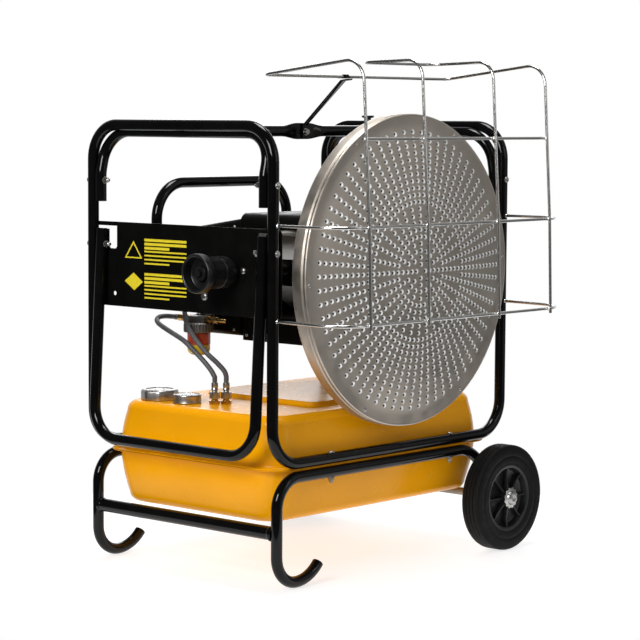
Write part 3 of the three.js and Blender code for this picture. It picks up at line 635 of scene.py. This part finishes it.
def top_rail():
    stations = [(-363.8, 0), (-74, 0), (-66, 0.03), (-58, 0.15), (-50, 0.35), (-42, 0.62), (-34, 0.85),
                (-26, 0.97), (-22, 1), (16, 1), (17, 0.98)]
    for side, label in ((1, "left"), (-1, "right")):
        rings = []
        for x, pressed in stations:
            ring = []
            for angle in turns(40):
                flat = 3 * max(-1, min(1, 2.2 * math.cos(angle)))
                y = (1 - pressed) * TUBE * math.cos(angle) + pressed * flat
                z = ((1 - pressed) * TUBE + pressed * 19) * math.sin(angle)
                ring.append((side * x, y - side * pressed * 3.15, RAIL_Z + z))
            rings.append(ring)
        Shape().skin(rings).make(f"rail_{label}", BLACK, "frame", f"top_rail_{label}")
    refine("guard_stay", BLACK, 0.5)
    fixings = Shape()
    fixings.bolt((0, -9.6, 986), "Y", -1, 12, 8.5)
    fixings.bolt((0, 6.2, 986), "Y", 1, 12, 8.5, 5)
    fixings.dome((-46.5, -172, 1108), "Z", 1, 5, 3.4)
    fixings.make("rail_fixings", ZINC, "frame")
    strap = Shape().slab((-10, -10.4, RAIL_Z - 15), (10, -9.2, RAIL_Z + 15), 2, 0.4, "Y")
    strap.skin([[(x, y, z) for y, z in (
        (-192, 1107.3), (-180.5, 1107.3), (-179.4, 1111.5), (-177, 1114.6), (-173, 1114.6),
        (-170.6, 1111.5), (-169.5, 1107.3), (-160, 1107.3), (-160, 1109), (-168.4, 1109), (-169.2, 1112.4),
        (-172.2, 1116.2), (-177.8, 1116.2), (-180.8, 1112.4), (-181.6, 1109), (-192, 1109),
    )] for x in (-56, -41)])
    strap.make("stay_clip", BLACK, "frame")
    refine("cord_hanger", PLASTIC, 0.8)


def frame_bolts():
    heads = Shape()
    for x in (-HOOP_X, HOOP_X):
        for way in (-1, 1):
            loops = [(875, LOOP_Y)] if x > 0 else [(875, LOOP_Y), (730, LOWER_LOOP_Y)]
            for z, inner in loops:
                heads.dome((x, way * (HOOP_Y + TUBE - 0.6), z), "Y", way, 7.5, 5)
                heads.bolt((x, way * (inner - TUBE + 0.4), z), "Y", -way, 12, 8, 6)
    for x in (-208, 208):
        for y in (-HOOP_Y, HOOP_Y):
            heads.dome((x, y, HOOP_BOTTOM + TUBE - 0.5), "Z", 1, 7.5, 4.5)
            heads.bolt((x, y, SKID_BAR_Z - TUBE + 0.5), "Z", -1, 12, 8, 4)
    heads.make("frame_bolts", ZINC, "frame")


# ---------- undercarriage

def undercarriage():
    for side, label in ENDS:
        y = side * SKID_Y
        route = arc(y, 240, 135, 107.5, 0, 90, 20)
        route[0].z = 135.3
        route += arc(y, -318.6, 176.5, 66, 90, 180, 16)
        route += arc(y, -323.3, 74, 61.3, 180, 270, 18)
        route += arc(y, -323.3, 107.7, 95, -90, -40, 12)[1:]
        black_tube(f"skid_{label}", f"skid_tube_{label}", route, ease=1.4)
    reach = 268.9
    r = CROSSBAR_R
    bar = Shape().tube([(SKID_LEG_X, y, CROSSBAR_Z) for y in (-reach, 0, reach)], r, 40, ease=0.2)
    bead = [(r - 0.5, -6), (r + 1.2, -3), (r + 2.2, 0), (r + 1.4, 3), (r - 2, 5), (r - 3, -5),
            (r - 0.5, -6)]

    def ripple(angle, index):
        return 1 + 0.015 * math.sin(9 * angle)

    for way in (-1, 1):
        bar.lathe(bead, (SKID_LEG_X, way * 268.6, CROSSBAR_Z), "Y", 40, ripple, way)
    bar.make("skid_crossbar_welded", BLACK, "frame", "skid_crossbar")
    axle = Shape().lathe([(0, -362), (9, -362), (10, -361), (10, 361), (9, 362), (0, 362)],
                         (WHEEL[0], 0, WHEEL[2]), "Y", 40)
    axle.make("axle", AXLE, "frame", "axle_bar")
    for side, label in ENDS:
        wheel(side, label, (WHEEL[0], side * WHEEL[1], WHEEL[2]))


def wheel(side, label, hub):
    body = f"wheel_{label}"
    half = [(79.2, 22), (84, 22.6), (86, 23.6), (92, 24), (98, 24.2), (98.8, 23.6), (99.6, 24.3), (108, 25),
            (114, 25), (118, 24.8), (120.6, 24), (121, 23.2), (122.2, 23), (123.6, 21.2), (124.6, 18.5),
            (125, 15), (125, 10.6), (123.6, 10.2), (123.6, 9.2), (125, 8.8), (125, 1), (123.8, 0.6)]
    wall = [(79.2, -22), *half, *[(r, -t) for r, t in reversed(half)]]
    tyre = Shape().lathe(wall, hub, "Y", 128)
    tyre.make(f"tyre_{label}_moulded", TYRE, body, f"tyre_{label}", 50)
    rim = Shape().lathe([
        (10.4, 25), (17, 25), (19, 23), (20, 8), (26, 5), (60, 4), (66, 7), (69, 14), (71, 20), (74, 21.6),
        (78.6, 21.8), (78.6, -21.8), (72, -21.6), (69, -14), (66, -6), (24, -5), (20, -10), (19, -33),
        (10.4, -33), (10.4, 25),
    ], hub, "Y", 96, way=side)
    for angle in turns(8):
        spoke = []
        for along, width, deep in ((17, 2.2, 22), (30, 1.7, 18), (52, 1.7, 15), (70, 2.2, 18)):
            ring = []
            for a, b in ((-1, -1), (1, -1), (1, 0.94), (0.6, 1), (-0.6, 1), (-1, 0.94)):
                u = along * math.cos(angle) - a * width * math.sin(angle)
                v = along * math.sin(angle) + a * width * math.cos(angle)
                ring.append((hub[0] + v, hub[1] + side * deep * b, hub[2] + u))
            spoke.append(ring)
        rim.skin(spoke)
    rim.make(f"rim_{label}_moulded", PLASTIC, body, f"wheel_rim_{label}")

    def notched(angle, index):
        return 1 - 0.09 * (math.cos(12 * angle) > 0.3) if index in (2, 3, 4) else 1

    cap = Shape().lathe([
        (10.3, 0), (22, 0), (24.6, 0.8), (24.8, 2), (23.6, 2.8), (18.4, 3), (16.6, 3.8), (15.4, 6.4),
        (14, 9.4), (11.4, 11.6), (8.4, 12.4), (6.4, 11.9), (5.4, 10.6), (0, 10.2),
    ], (hub[0], side * (WHEEL[1] + 25.5), hub[2]), "Y", 120, notched, side)
    cap.make(f"axle_cap_{label}_pressed", ZINC, "frame", f"axle_cap_{label}", 34)


# ---------- fuel tank

def eased(half_x, half_y, radius, points):
    """Level rounded rectangles; points holds (inset, z), the inset shrinking the corner a little."""
    rings = []
    for inset, z in points:
        pairs = rounded_rectangle(half_x - inset, half_y - inset, max(radius - inset * 0.6, 4), 14)
        rings.append([(x, y, z) for x, y in pairs])
    return rings


def quarter(start, end, steps, flip=False):
    """(inset, z) pairs on a quarter ellipse from one pair to another."""
    pairs = []
    for k in range(steps + 1):
        a = math.pi / 2 * k / steps
        s, c = math.sin(a), 1 - math.cos(a)
        u, v = (s, c) if flip else (c, s)
        pairs.append((start[0] + (end[0] - start[0]) * u, start[1] + (end[1] - start[1]) * v))
    return pairs


def flange(points):
    """The rolled edge between the tank's halves; points holds (inset, z)."""
    rings = []
    for inset, z in points:
        rings += eased(382 - inset, 283 - inset * 1.27, 78 - inset * 1.1, [(0, z)])
    return rings


def bulged(shares, start, end):
    """Walls swelling a little between two (half_x, half_y, corner, z) levels."""
    rings = []
    for share in shares:
        half_x, half_y, corner, z = [a + (b - a) * share for a, b in zip(start, end)]
        swell = 2.2 * math.sin(math.pi * share)
        rings += eased(half_x + swell, half_y + swell, corner, [(0, z)])
    return rings


def tank():
    walls = flange([(1.2, 257.7), (0, 258.1), (0, 259.2), (0.5, 259.6), (13.5, 259.7), (15.2, 260.6),
                    (16.4, 263.4)])
    walls += bulged((0.03, 0.2, 0.4, 0.6, 0.8, 1), (365.4, 261.4, 60, 264), (355, 247, 54, 348))
    walls += eased(355, 247, 54, quarter((0, 348), (22, TANK_TOP), 14)[1:])
    walls += eased(355, 247, 54, [(32, TANK_TOP), (80, TANK_TOP)])
    upper = Shape().skin(walls)
    step = [(-7, TANK_TOP - 0.4), *quarter((-6, TANK_TOP), (0, 376), 5, True),
            *quarter((0, 376), (5, 380), 6)[1:]]
    upper.skin([[(x + 71, y, z) for x, y, z in ring] for ring in eased(219, 169, 20, step)])
    upper.make("tank_top_shell", ORANGE, "frame", "tank_upper", 50)
    walls = eased(356, 239, 54, quarter((20, 137), (0, 157), 12, True))
    walls += bulged((0.2, 0.4, 0.6, 0.8, 0.98), (356, 239, 54, 157), (365.6, 261.6, 60, 254))
    walls += flange([(15.6, 255.2), (13.5, 255.5), (0.5, 255.5), (0, 255.9), (0, 257), (1.2, 257.4)])
    Shape().skin(walls).make("tank_bottom_shell", ORANGE, "frame", "tank_lower", 50)


def filler():
    neck = Shape().lathe([(24, 0), (32, 0), (32, 2), (28.4, 3), (28, 16), (24, 16), (24, 0)],
                         (*FILLER, FITTING_Z))
    neck.make("filler_neck_rolled", ZINC, "frame", "fuel_filler_neck")

    def lobed(angle, index):
        depth = (0, 0.045, 0.05, 0.05, 0.045, 0.03, 0.01, 0, 0, 0)[min(index, 9)]
        return 1 - depth * (0.5 - 0.5 * math.cos(8 * angle)) ** 0.7

    low = TANK_TOP + 1
    cap = Shape().lathe([
        (33.2, 0), (42.6, 0), (43.4, 2), (43.5, 17), (42.6, 20.5), (40, 22.8), (36, 24), (33, 23.6),
        (31.5, 21.4), (14, 21), (12.6, 22.4), (0, 22.8),
    ], (*FILLER, low), "Z", 144, lobed)
    for x, y in circle(22, 3, *FILLER, 0.4):
        cap.slab((x - 2, y - 2, low + 21), (x + 2, y + 2, low + 22.2), 1.9, 0.3)
    cap.make("fuel_cap_pressed", BRIGHT, "fuel_cap", "fuel_cap")


def gauge():
    at = (*GAUGE, FITTING_Z)
    body = Shape().lathe([
        (0, 0), (30, 0), (31.6, 0.6), (32.5, 2.4), (32, 4), (32, 15), (32.5, 16.4), (32.2, 18.6),
        (31, 20.4), (29.6, 20.7), (28.4, 19.8), (28.2, 12), (0, 12),
    ], at, "Z", 96)
    body.make("gauge_case", BRIGHT, "frame", "gauge_body")
    face = Shape().lathe([(0, 12.05), (28, 12.05), (28, 12.6), (0, 12.6)], at)
    face.make("gauge_face", DIAL_WHITE, "frame")
    ticks = Shape()
    for k in range(9):
        angle = math.radians(-40 + 10 * k)
        x = at[0] + 23.5 * math.cos(angle)
        y = at[1] + 23.5 * math.sin(angle)
        size = 1.3 if k % 4 == 0 else 0.8
        ticks.lathe([(0, 12.6), (size, 12.6), (size, 12.8), (0, 12.8)], (x, y, FITTING_Z), "Z", 12)
    ticks.make("gauge_ticks", PLASTIC, "frame")
    lens = Shape().lathe([(0, 0), (27.8, 0), (27.8, 1.6), (24, 2.8), (16, 3.6), (8, 3.95), (0, 4)],
                         (*GAUGE, TANK_TOP + 18))
    lens.make("gauge_dome", GLASS, "frame", "gauge_lens")
    repaint("gauge_needle", SIGNAL_RED)


def hose_fittings():
    for port, label in ((SUPPLY_PORT, "supply"), (RETURN_PORT, "return")):
        at = (*port, FITTING_Z)
        brass = Shape().hexagon(at, "Z", 22.5, 0, 7)
        brass.lathe([(0, 6.6), (8.4, 6.6), (8.4, 9), (6.6, 10), (6.6, 12.4), (0, 12.4)], at, "Z", 40)
        brass.make(f"adaptor_{label}", BRASS, "frame", f"hose_fitting_{label}")
        nut = Shape().hexagon(at, "Z", 21.5, 12.2, 27)
        nut.lathe([
            (0, 27), (7.2, 27), (6.2, 28.4), (6.2, 30), (7.8, 30.6), (7.8, 35.6), (7.2, 36.4), (7.2, 38.2),
            (7.8, 39), (7.8, 44), (7.2, 49.3), (0, 49.3),
        ], at, "Z", 40)
        nut.make(f"swivel_nut_{label}", ZINC, "frame")


# ---------- side panels and print

def panels():
    for side, label in SIDES:
        refine(f"side_panel_{label}", BLACK_SHEET, 0.5)
        face = side * PANEL_FACE
        screws = Shape()
        for y, z, radius, height in ((-64, 627, 10, 6), (-181, 688.5, 7.5, 4.6), (-219, 727, 7, 4)):
            screws.dome((face, y, z), "X", side, radius, height)
        screws.slab((face, -247, 762.5), (face + side * 1.4, -227, 771.5), 3, 0.4, "X")
        for y in (-281, 281):
            for z in (610, 760):
                screws.dome((side * (PANEL_FACE - 2), y, z), "X", -side, 5.5, 3.6)
        screws.make(f"panel_screws_{label}", ZINC, "frame")
    printed_notice()


def printed_notice():
    """Plain yellow bars, an empty triangle and a diamond on the left panel, in place of a printed label."""

    def patch(shape, pairs, lift=0.0):
        near = -PANEL_FACE - lift
        shape.skin([[(x, y, z) for y, z in pairs] for x in (near, near - 0.12)])

    ink = Shape()
    right = 127
    for block_top in (746, 669):
        for k in range(7):
            top = block_top - 9 * k
            low = top - (6 if k < 3 else 3.6)
            left = right - (80 if k in (2, 6) else 134)
            patch(ink, [(right, top), (left, top), (left, low), (right, low)])
    patch(ink, [(162.5, 740), (191, 700.5), (134, 700.5)])
    patch(ink, [(162, 668), (191, 648), (160, 628), (132, 648)])
    ink.make("printed_notice", YELLOW_INK, "frame")
    centre = Shape()
    patch(centre, [(162.5, 733), (185, 703.5), (140, 703.5)], 0.1)
    centre.make("notice_triangle_centre", BLACK_SHEET, "frame")


# ---------- wire guard

def wire(name, node, route, ease=0.5):
    Shape().tube(route, WIRE, 20, ease=ease).make(name, CHROME, "frame", node)


def guard():
    def loop(half_x, rear_y, rear_z, front_bend, rear_bend):
        leg = [((-half_x, -487, 574),), ((-half_x, -481, 790), 60), ((-half_x, -460, 1145), front_bend),
               ((-half_x, rear_y, rear_z), rear_bend)]
        return rounded(both(leg), 10)

    wire("guard_outer", "guard_outer_loop", loop(GUARD_X, -175, 1111, 46, 16))
    wire("guard_inner", "guard_inner_loop", loop(GUARD_INNER_X, -285, 1140, 40, 30))
    wire("guard_top", "guard_wire_top", [(x, -462.8, GUARD_TOP_Z) for x in (-320, 0, 320)])
    for label, z, front, end in (("middle", 790, -473.8, 789.5), ("bottom", 584, -479.7, 586)):
        route = rounded(both([((-HOOP_X, -294, end),), ((-HOOP_X, front, z), 80)]))
        wire(f"guard_{label}", f"guard_wire_{label}", route, 0.2)
    welds = Shape()
    for x in (-GUARD_X, -GUARD_INNER_X, GUARD_INNER_X, GUARD_X):
        for y, z in ((-466.6, GUARD_TOP_Z), (-477.4, 789.8), (-483.2, 584)):
            welds.lathe([(0, -4.4), (2.6, -3.8), (4, -1.6), (4.4, 0), (4, 1.6), (2.6, 3.8), (0, 4.4)],
                        (x, y, z), "Y", 20)
    for x in (-HOOP_X, HOOP_X):
        for z in (789.5, 586):
            welds.lathe([(0, -294.6), (4.6, -294), (3.6, -296), (2.7, -298), (0, -298)], (x, 0, z), "Y", 24)
    welds.make("guard_welds", CHROME, "frame")


# ---------- burner

def dome_front(radius):
    """How far forward the front plate stands at a radius."""
    return DISC_FRONT - DOME_RISE * max(0.0, 1 - (radius / DOME_R) ** 2)


def smooth(value):
    held = max(0.0, min(1.0, value))
    return held * held * (3 - 2 * held)


def perforated_plate():
    """A domed plate with rings of punched dimples, each with a small hole in its middle."""
    sides = 12
    pitch = 15.5
    level_from = 312
    level_over = 24
    # A dimple's radius, depth and lean of the normals, from its mouth to the bottom of its hole.
    dimple = [(5.7, 0.0, 0), (5.2, 0.3, 1.1), (4.1, 1.4, 1.6), (2.6, 2.6, 1.4), (2.5, 3.7, 3.0)]
    counts = [4, 8] + [16] * 2 + [32] * 5 + [64] * 11
    centres = [centre for ring, count in enumerate(counts, 1) for centre in circle(pitch * ring, count)]
    flat = [point for u, v in centres for point in circle(dimple[0][0], sides, u, v)]
    mouths = len(flat)
    for radius in (317, 320, 323, 326, 330, 334, 339, 345.7):
        flat += circle(radius, RIM_SIDES)
    edges = [(first + k, first + (k + 1) % sides)
             for first in range(0, mouths, sides) for k in range(sides)]
    spots, _, triangles, origin, _, _ = delaunay_2d_cdt([Vector(p) for p in flat], edges, [], 0, 1e-5)
    owners = [source[0] // sides if source and source[0] < mouths else -1 for source in origin]
    mouth_spots = {source[0]: spot for spot, source in enumerate(origin) if source and source[0] < mouths}
    verts = []
    normals = []

    def place(u, v, sink=0.0, lean=(0, 0)):
        radius = math.hypot(u, v)
        slope = 2 * DOME_RISE * radius / DOME_R ** 2 * (1 - smooth((radius - level_from) / level_over))
        normal = Vector((u / max(radius, 1e-6) * slope, -1, v / max(radius, 1e-6) * slope))
        normal += Vector((lean[0], 0, lean[1]))
        verts.append((u, dome_front(radius) + sink, AXIS_Z + v))
        normals.append(normal.normalized())

    for spot in spots:
        place(spot.x, spot.y)
    faces = [list(t) for t in triangles if owners[t[0]] < 0 or len({owners[k] for k in t}) > 1]
    plain = len(faces)
    # Slot 1 paints a highlight on each dimple's walls, slot 2 paints shade on the wall of its hole.
    highlight_or_shade = []
    for index, (u, v) in enumerate(centres):
        before = [mouth_spots[index * sides + k] for k in range(sides)]
        for level, (radius, sink, lean) in enumerate(dimple[1:], 1):
            here = [len(verts) + k for k in range(sides)]
            for angle in turns(sides):
                across, along = math.cos(angle), math.sin(angle)
                place(u + radius * across, v + radius * along, sink, (-lean * across, -lean * along))
            for k in range(sides):
                after = (k + 1) % sides
                faces.append([before[k], before[after], here[after], here[k]])
                highlight_or_shade.append(2 if level > 3 else 1)
            before = here
    mesh = bpy.data.meshes.new("perforated_front")
    mesh.from_pydata([P(*v) for v in verts], [], faces)
    mesh.shade_smooth()
    mesh.normals_split_custom_set_from_vertices(normals)
    dressed(mesh, [STEEL, DIMPLE_PAINTED_HIGHLIGHT, HOLE_PAINTED_SHADE], "burner", "disc_front_plate")
    for index, paint in enumerate(highlight_or_shade):
        mesh.polygons[plain + index].material_index = paint


def disc():
    perforated_plate()
    at = (0, 0, AXIS_Z)
    rim = Shape().lathe([
        (344.6, -329.6), (345.4, -331), (346.8, -331.4), (348.4, -330.6), (349.6, -328.8), (350, -326.6),
        (349.7, -324.4), (348.6, -323), (347.6, -321.8), (347.5, -320.2), (348.6, -318.8), (349.7, -317.4),
        (350, -315), (350, -296.5), (349.6, -293), (348, -290.4), (345, -288.6), (342, -287.8),
        (330, -286.6), (150, -267), (112, -262), (107.4, -261), (107.4, -263.2), (330, -288.2),
        (343, -290), (345.9, -292), (344.6, -329.6),
    ], at, "Y", RIM_SIDES)
    rim.make("disc_rim_rolled", STEEL, "burner", "disc_rim", 60)
    # A liner just behind the plate, painted near-black as the shade seen through the holes.
    levels = [(r, dome_front(r) + 6) for r in range(0, 330, 12)]
    liner = Shape().lathe(levels + [(r, y + 2) for r, y in reversed(levels)], at, "Y", 96)
    liner.make("disc_liner", LINER_PAINTED_SHADE, "burner")
    screws = Shape()
    for x, z in circle(337.5, 6, 0, AXIS_Z, math.radians(3)):
        screws.dome((x, DISC_FRONT + 0.2, z), "Y", -1, 5, 3.2)
    screws.make("disc_screws", BRIGHT, "burner")
    r = DRUM_R
    drum = Shape().lathe([
        (r, -286), (r, -258), (r + 0.6, -256), (r + 0.6, -252), (r, -250), (r, -150), (r + 0.5, -148.5),
        (r + 0.5, -146), (r, -144.5), (r, -4), (r - 1, -1), (r - 3, 0), (42, 0), (42, -1.5),
        (r - 1.5, -1.5), (r - 1.5, -286), (r, -286),
    ], at, "Y", 128)
    drum.make("drum_rolled", DRUM_STEEL, "burner", "combustion_chamber", 60)
    collar = Shape().lathe([
        (107.6, -263), (122, -264.5), (122, -262.6), (111, -260.6), (109, -254), (107.6, -254),
        (107.6, -263),
    ], at, "Y", 96)
    for x, z in circle(116.5, 12, 0, AXIS_Z):
        collar.dome((x, -261.6, z), "Y", 1, 3, 2)
    collar.make("drum_collar", GALVANISED, "burner")


def casing():
    for node, paint, bevel in (("top_hood", BLACK_SHEET, 0.5), ("base_box", BLACK_SHEET, 0.8),
                               ("rear_cover", BLACK_SHEET, 0.8), ("cradle_arm_left", BLACK, 0.6),
                               ("cradle_arm_right", BLACK, 0.6), ("heat_shield", GALVANISED, 0.4),
                               ("control_box", PLASTIC, 0.5)):
        refine(node, paint, bevel, "burner")
    refine("rocker_switch", SIGNAL_RED, 0.6, "rocker_switch")
    refine("thermostat_dial", PLASTIC, 0.8, "thermostat_dial")
    for node, paint in (("motor", CAST), ("fuel_pump", CAST), ("fan", ZINC), ("flame_tube", DRUM_STEEL),
                        ("nozzle_assembly", BRASS)):
        repaint(node, paint)
    screws = Shape()
    louvres = Shape()
    packing = Shape()
    for side in (-1, 1):
        for y in (-150, -70, 5):
            screws.dome((side * 187, y, 757), "Z", -1, 4, 2.6)
        for y, z in ((30, 535), (130, 535), (30, 770), (132, 752), (-180, 525), (-90, 525), (-10, 525)):
            screws.dome((side * 195, y, z), "X", side, 4, 2.6)
        for y in (-240, -60, 60, 240):
            screws.bolt((side * 210, y, 654), "X", side, 10, 7)
        screws.dome((side * HANDLE_X, 267, 654), "Y", 1, 6.5, 4)
        for y in range(40, 138, 14):
            louvres.slab((side * 194.6, y, 655), (side * 197.4, y + 7, 735), 3, 0.9, "X")
        packing.slab((side * 193, -176, 755.4), (side * 84, 7, 756.7), 3, 0.3)
    screws.make("casing_screws", ZINC, "burner")
    louvres.make("casing_louvres", BLACK_SHEET, "burner")
    packing.make("shield_packing", GALVANISED, "burner")
    handle = [((-HANDLE_X, 255, 645),), ((-HANDLE_X, 255, 865), 85)]
    black_tube("handle_bent", "handle_loop", rounded(both(handle), 18), "burner", 11)


def knobs():
    profile = [
        (0, 64), (6.4, 64), (6.4, 0), (26, 0), (28.4, 1), (29, 3), (29, 10), (31, 12.4), (34, 14), (35, 17),
        (35, 38), (33.6, 39.4), (33.6, 42), (35, 43.4), (35, 76), (36.4, 79.4), (40, 81.6), (42.4, 84),
        (43, 86.4), (43, 100), (42.4, 102.6), (40.6, 104.2), (38, 104.4), (36.6, 103.4), (35.6, 100),
        (34.6, 81.6), (33, 80.4), (19, 80), (17.6, 81), (16.8, 89.4), (15.6, 90.6), (9, 90.8), (8, 89.6),
        (0, 89.4),
    ]

    def grip(angle, index):
        return 1 - 0.035 * (0.5 + 0.5 * math.cos(10 * angle)) ** 2 if 9 <= index <= 14 else 1

    for side, label in SIDES:
        at = (side * 387.6, *PIVOT)
        body = f"tilt_knob_{label}"
        knob = Shape().lathe(profile, at, "X", 120, grip, side)
        knob.make(f"knob_{label}_moulded", PLASTIC, body, f"tilt_knob_{label}")
        stud = Shape().hexagon(at, "X", 13, 89, 96, side)
        stud.make(f"knob_nut_{label}", PLASTIC, body)


def fuel_filter():
    at = (*FILTER, 0)

    def ribbed(angle, index):
        return 1 - 0.035 * (0.5 + 0.5 * math.cos(28 * angle)) if 2 <= index <= 5 else 1

    head = Shape().lathe([
        (0, 526.8), (33.4, 526.8), (35, 528), (35.2, 531), (35.2, 544), (35, 546.6), (33, 548), (29, 548.4),
        (27.4, 550), (27, 562), (25, 565.4), (20, 566), (0, 566)], at, "Z", 168, ribbed)
    head.slab((-234, 90, 552), (-195.3, 124, 566), 3, 1.2)
    head.slab((-250, 87, 549), (-214, 127, 560), 5, 1.5)
    head.dome((*FILTER, 566), "Z", 1, 7, 5)
    head.make("filter_head_cast", CAST, "burner", "filter_head")
    brass = Shape()
    for way in (1, -1):
        port = (FILTER[0], FILTER[1] + way * 26, FILTER_PORT_Z)
        brass.hexagon(port, "Y", 17, 0, 14, way)
        brass.lathe([(0, 14), (6.6, 14), (6.6, 24), (0, 24)], port, "Y", 32, way=way)
        brass.hexagon(port, "Y", 15, 24, 38, way)
    line = (FILTER[0], 0, FILTER_PORT_Z)
    brass.lathe([(0, 69), (4.5, 69), (4.5, 22), (3, 20), (0, 20)], line, "Y", 24)
    brass.make("filter_fittings", BRASS, "burner")
    ferrule = Shape().lathe([(0, 170), (6.6, 170), (6.6, 175), (6.2, 175.8), (6.2, 177.6), (6.6, 178.4),
                             (6.6, 184), (6.2, 186.8), (0, 186.8)], line, "Y", 32)
    ferrule.make("filter_ferrule", CAST, "burner")

    def fluted(angle, index):
        return 1 - 0.02 * (0.5 + 0.5 * math.cos(20 * angle))

    red = Shape().lathe([(0, 498.4), (25.4, 498.4), (26.8, 500), (27, 503), (27, 525.6), (26, 526.7),
                         (0, 526.7)], at, "Z", 120, fluted)
    red.make("filter_bowl_red", RED_BOWL, "burner", "filter_bowl")
    yellow = Shape().lathe([(0, 474), (12, 474), (17, 475), (22.4, 478.6), (25.6, 484), (26.2, 488),
                            (26.2, 497.6), (25.4, 498.3), (0, 498.3)], at, "Z", 120, fluted)
    yellow.make("filter_bowl_base", YELLOW_BASE, "burner")


# ---------- hoses

SUPPLY_ROUTE = [
    (-232, 187.3, 557), (-232, 199, 557), (-236, 211, 557), (-247, 220, 555.5), (-260, 216, 550.5),
    (-270, 203, 545), (-277, 184, 539), (-280, 153, 528), (-280, 106, 509), (-277, 83, 492),
    (-271, 56, 469), (-264, 35, 445), (-262, 26, 431), (-262, 26, 420.3),
]
RETURN_ROUTE = [
    (-203.6, 125, 614), (-216, 125, 614), (-245, 123, 606), (-265, 117, 590), (-275, 109, 566),
    (-276, 97, 541), (-273, 75, 513), (-265, 48, 484), (-253, 25, 461), (-245, 11, 443),
    (-243, 8, 432), (-243, 8, 420.3),
]


def hoses():
    for label, route in (("supply", SUPPLY_ROUTE), ("return", RETURN_ROUTE)):
        points = [Vector(route[0]), *catmull(route[1:-1], 4), Vector(route[-1])]
        points = points[::-1]
        piece = Shape().tube(points, HOSE_R, 20, ease=0.3).make(f"{label}_hose_run", HOSE)
        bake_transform(piece)
        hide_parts(f"{label}_hose")


look()
studio()
hoses()
tube_frame()
top_rail()
frame_bolts()
undercarriage()
tank()
filler()
gauge()
hose_fittings()
panels()
guard()
disc()
casing()
knobs()
fuel_filter()
